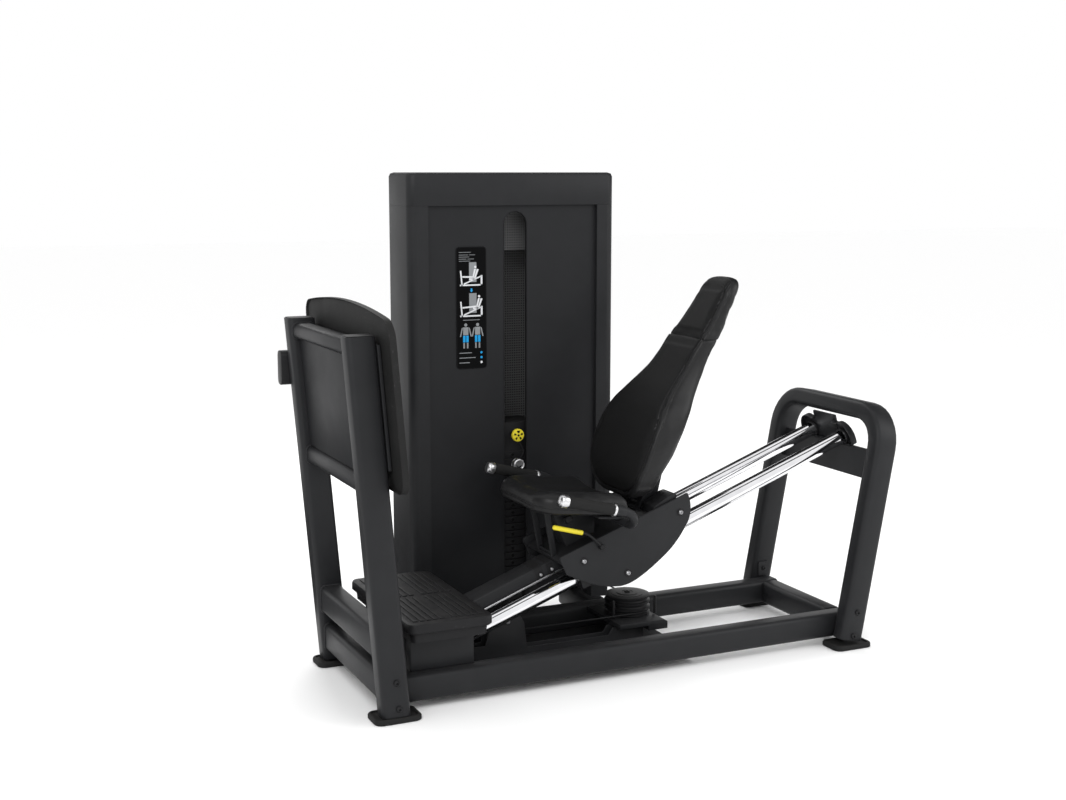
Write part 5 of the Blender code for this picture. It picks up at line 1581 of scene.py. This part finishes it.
def increment_dial(centre):
    """The yellow dial on its black stem, with five dark marks round a dot."""
    stem = [(0.0080, -0.0003), (0.0080, -0.0432), (0.0100, -0.0438), (0.0020, -0.0438)]
    finished("dial_stem", turned(stem, centre, Y, 32), "black_plastic", "increment_dial", sharp=40)
    profile = [(0.0085, -0.0440), (0.0213, -0.0442), (0.0223, -0.0450), (0.0225, -0.0460), (0.0225, -0.053),
               (0.0213, -0.0560), (0.0195, -0.0568), (0.0020, -0.0566)]
    finished("dial_body", turned(profile, centre, Y, 72), "yellow_plastic", "increment_dial",
             ("increment_dial",), sharp=35)
    marks = []
    for k in range(5):
        angle, width = radians(90 + 72 * k), 0.0042 if k else 0.0062
        u, v = Vector((cos(angle), 0, sin(angle))), Vector((-sin(angle), 0, cos(angle)))
        near, far = centre + u * 0.0085, centre + u * 0.0170
        wedge = [near - v * width / 2, far - v * width, far + v * width, near + v * width / 2]
        marks.append(loft([[p - Y * d for p in wedge] for d in (0.0565, 0.0574)]))
    dot = [(0.0002, 0.0565), (0.0040, 0.0565), (0.0040, 0.0576), (0.0002, 0.0578)]
    marks.append(turned(dot, centre, -Y, 24))
    finished("dial_marks", merged(marks), "dark_print_and_hole_shade", "increment_dial", recalc=False, sharp=40)


def selector():
    """The pin, the dial above it, and the cord between them."""
    selector_knob(spot(STACK_X, STACK_Y0, HOLE_Z))
    increment_dial(spot(STACK_X, STACK_Y0 + 0.005, 0.707))
    points = [(0.006, 0.032, 0.6835), (0.014, 0.038, 0.672), (0.020, 0.043, 0.656), (0.021, 0.045, 0.645),
              (0.016, 0.046, 0.634), (0.008, 0.046, HOLE_Z + 0.0220)]
    line = [spot(STACK_X + x, STACK_Y0 - out, z) for x, out, z in smooth_line(points, 8)]
    cord = cable_piece("pin_lanyard", line, None, ("lanyard",), radius=0.0016)
    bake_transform(cord)


# ------------------------------------------------------------------------ placard
def flat_print(name, finish, outlines, y, thick=0.0004):
    """Thin printed shapes, each an (x, z) outline, on a face that looks towards -Y."""
    finished(name, merged([prism(outline, y - thick, y) for outline in outlines]), finish, "frame",
             recalc=False, sharp=40)


def bar(x0, x1, z0, z1):
    """An upright rectangle's outline."""
    return [(x0, z0), (x1, z0), (x1, z1), (x0, z1)]


def disc(x, z, radius):
    """A dot's outline."""
    return circle(radius, 16, (x, z))


def scaled(x, z, size, outline):
    """An outline given in shares of `size`, placed at (x, z)."""
    return [(x + a * size, z + b * size) for a, b in outline]


def figure(x, z, size):
    """A plain standing figure: body shapes, and its two thighs."""
    body = [disc(x, z + 0.92 * size, 0.065 * size), scaled(x, z, size, bar(-0.11, 0.11, 0.52, 0.83))]
    for s in (-1, 1):
        body.append(scaled(x, z, size, [(0.12 * s, 0.82), (0.17 * s, 0.80), (0.25 * s, 0.46), (0.20 * s, 0.46)]))
        body.append(scaled(x, z, size, bar(0.075 * s - 0.032, 0.075 * s + 0.032, 0, 0.22)))
    thighs = [scaled(x, z, size, bar(0.066 * s - 0.050, 0.066 * s + 0.050, 0.24, 0.50)) for s in (-1, 1)]
    return body, thighs


def small_machine(x, z, w, extended):
    """A little picture of the machine: grey tower, and white frame, rods, seat and figure."""
    grey = [scaled(x, z, w, bar(-0.10, 0.22, 0.15, 0.95))]
    white = [scaled(x, z, w, outline) for outline in (
        bar(-0.50, 0.48, 0, 0.06), bar(0.40, 0.48, 0, 0.42), [(-0.44, 0), (-0.38, 0), (-0.44, 0.62), (-0.50, 0.62)],
        [(-0.34, 0.10), (-0.32, 0.05), (0.44, 0.36), (0.42, 0.41)])]
    shift = 0.16 if extended else 0.0
    sx, sz = x + (shift - 0.10) * w, z + (0.24 + shift * 0.35) * w
    leg_x, leg_z = (x - sx) / w - 0.40, (z - sz) / w
    white += [scaled(sx, sz, w, outline) for outline in (
        [(0, 0), (0.22, 0), (0.22, 0.05), (0, 0.07)], [(0.20, 0.04), (0.27, 0.04), (0.42, 0.42), (0.34, 0.44)],
        [(0.14, 0.10), (0.20, 0.08), (0.30, 0.44), (0.22, 0.44)],
        [(leg_x, leg_z + 0.40), (leg_x, leg_z + 0.34), (0.16, 0.08), (0.16, 0.15)])]
    white.append(disc(sx + 0.27 * w, sz + 0.52 * w, 0.05 * w))
    return grey, white


def placard_board(xm, zm, width, height, y):
    """The black board and, just in front, its darker field."""
    board = [(xm + a, zm + b) for a, b in rounded_rect(width, height, 0.012, 8)]
    inner = [(xm + a, zm + b) for a, b in rounded_rect(width - 0.006, height - 0.006, 0.010, 8)]
    finished("placard_board", prism(board, y - 0.0022, y - 0.0002), "board_black", "frame", sharp=30,
             bevel=0.0006)
    flat_print("placard_field", "board_field", [inner], y - 0.0023)


def placard():
    """A black board on the front sheet with generic pictures: bars, two machine drawings, figures and dots."""
    xm, y = -0.3165, 0.380
    placard_board(xm, 1.1605, 0.113, 0.421, y)
    white, grey, blue = [], [], []
    for z, widths in ((1.352, (0.044,)), (1.343, (0.034, 0.022)), (1.336, (0.038,)), (1.329, (0.028, 0.024)),
                      (1.322, (0.042,))):
        x = xm - 0.046
        for width in widths:
            grey.append(bar(x, x + width, z - 0.0008, z + 0.0008))
            x += width + 0.004
    for z, extended in ((1.237, False), (1.131, True)):
        tower_shape, machine = small_machine(xm, z, 0.085, extended)
        grey += tower_shape
        white += machine
    arrow = [(-0.003, 0.0), (0.003, 0.0), (0.003, -0.007), (0.006, -0.007), (0.0, -0.013), (-0.006, -0.007),
             (-0.003, -0.007)]
    blue.append([(xm + a, 1.228 + b) for a, b in arrow])
    grey.append(bar(xm - 0.032, xm + 0.030, 1.1185, 1.1205))
    for x in (xm - 0.022, xm + 0.022):
        body, thighs = figure(x, 1.022, 0.088)
        grey += body
        blue += thighs
    for z, width, dot in ((1.006, 0.046, blue), (0.989, 0.060, blue), (0.972, 0.038, white)):
        grey.append(bar(xm - 0.046, xm - 0.046 + width, z - 0.0013, z + 0.0013))
        dot.append(disc(xm + 0.036, z, 0.0042))
    face = y - 0.0027
    flat_print("placard_grey", "print_grey", grey, face)
    flat_print("placard_white", "print_white", white, face - 0.0004)
    flat_print("placard_blue", "print_blue", blue, face - 0.0002)


def main():
    """Build the studio and every piece."""
    camera()
    studio()
    welded_frame()
    frame_welds()
    frame_bolts()
    foot_cups()
    tube_caps()
    foot_plate()
    step()
    guide_rods()
    rod_hood()
    pulleys()
    base_pulley_details()
    cables()
    tower()
    placard()
    weight_plates()
    stack_rods()
    selector()
    side_plates()
    carriage_details()
    beam_details()
    handles()
    seat_lever()
    seat()
    back_cushions()


main()
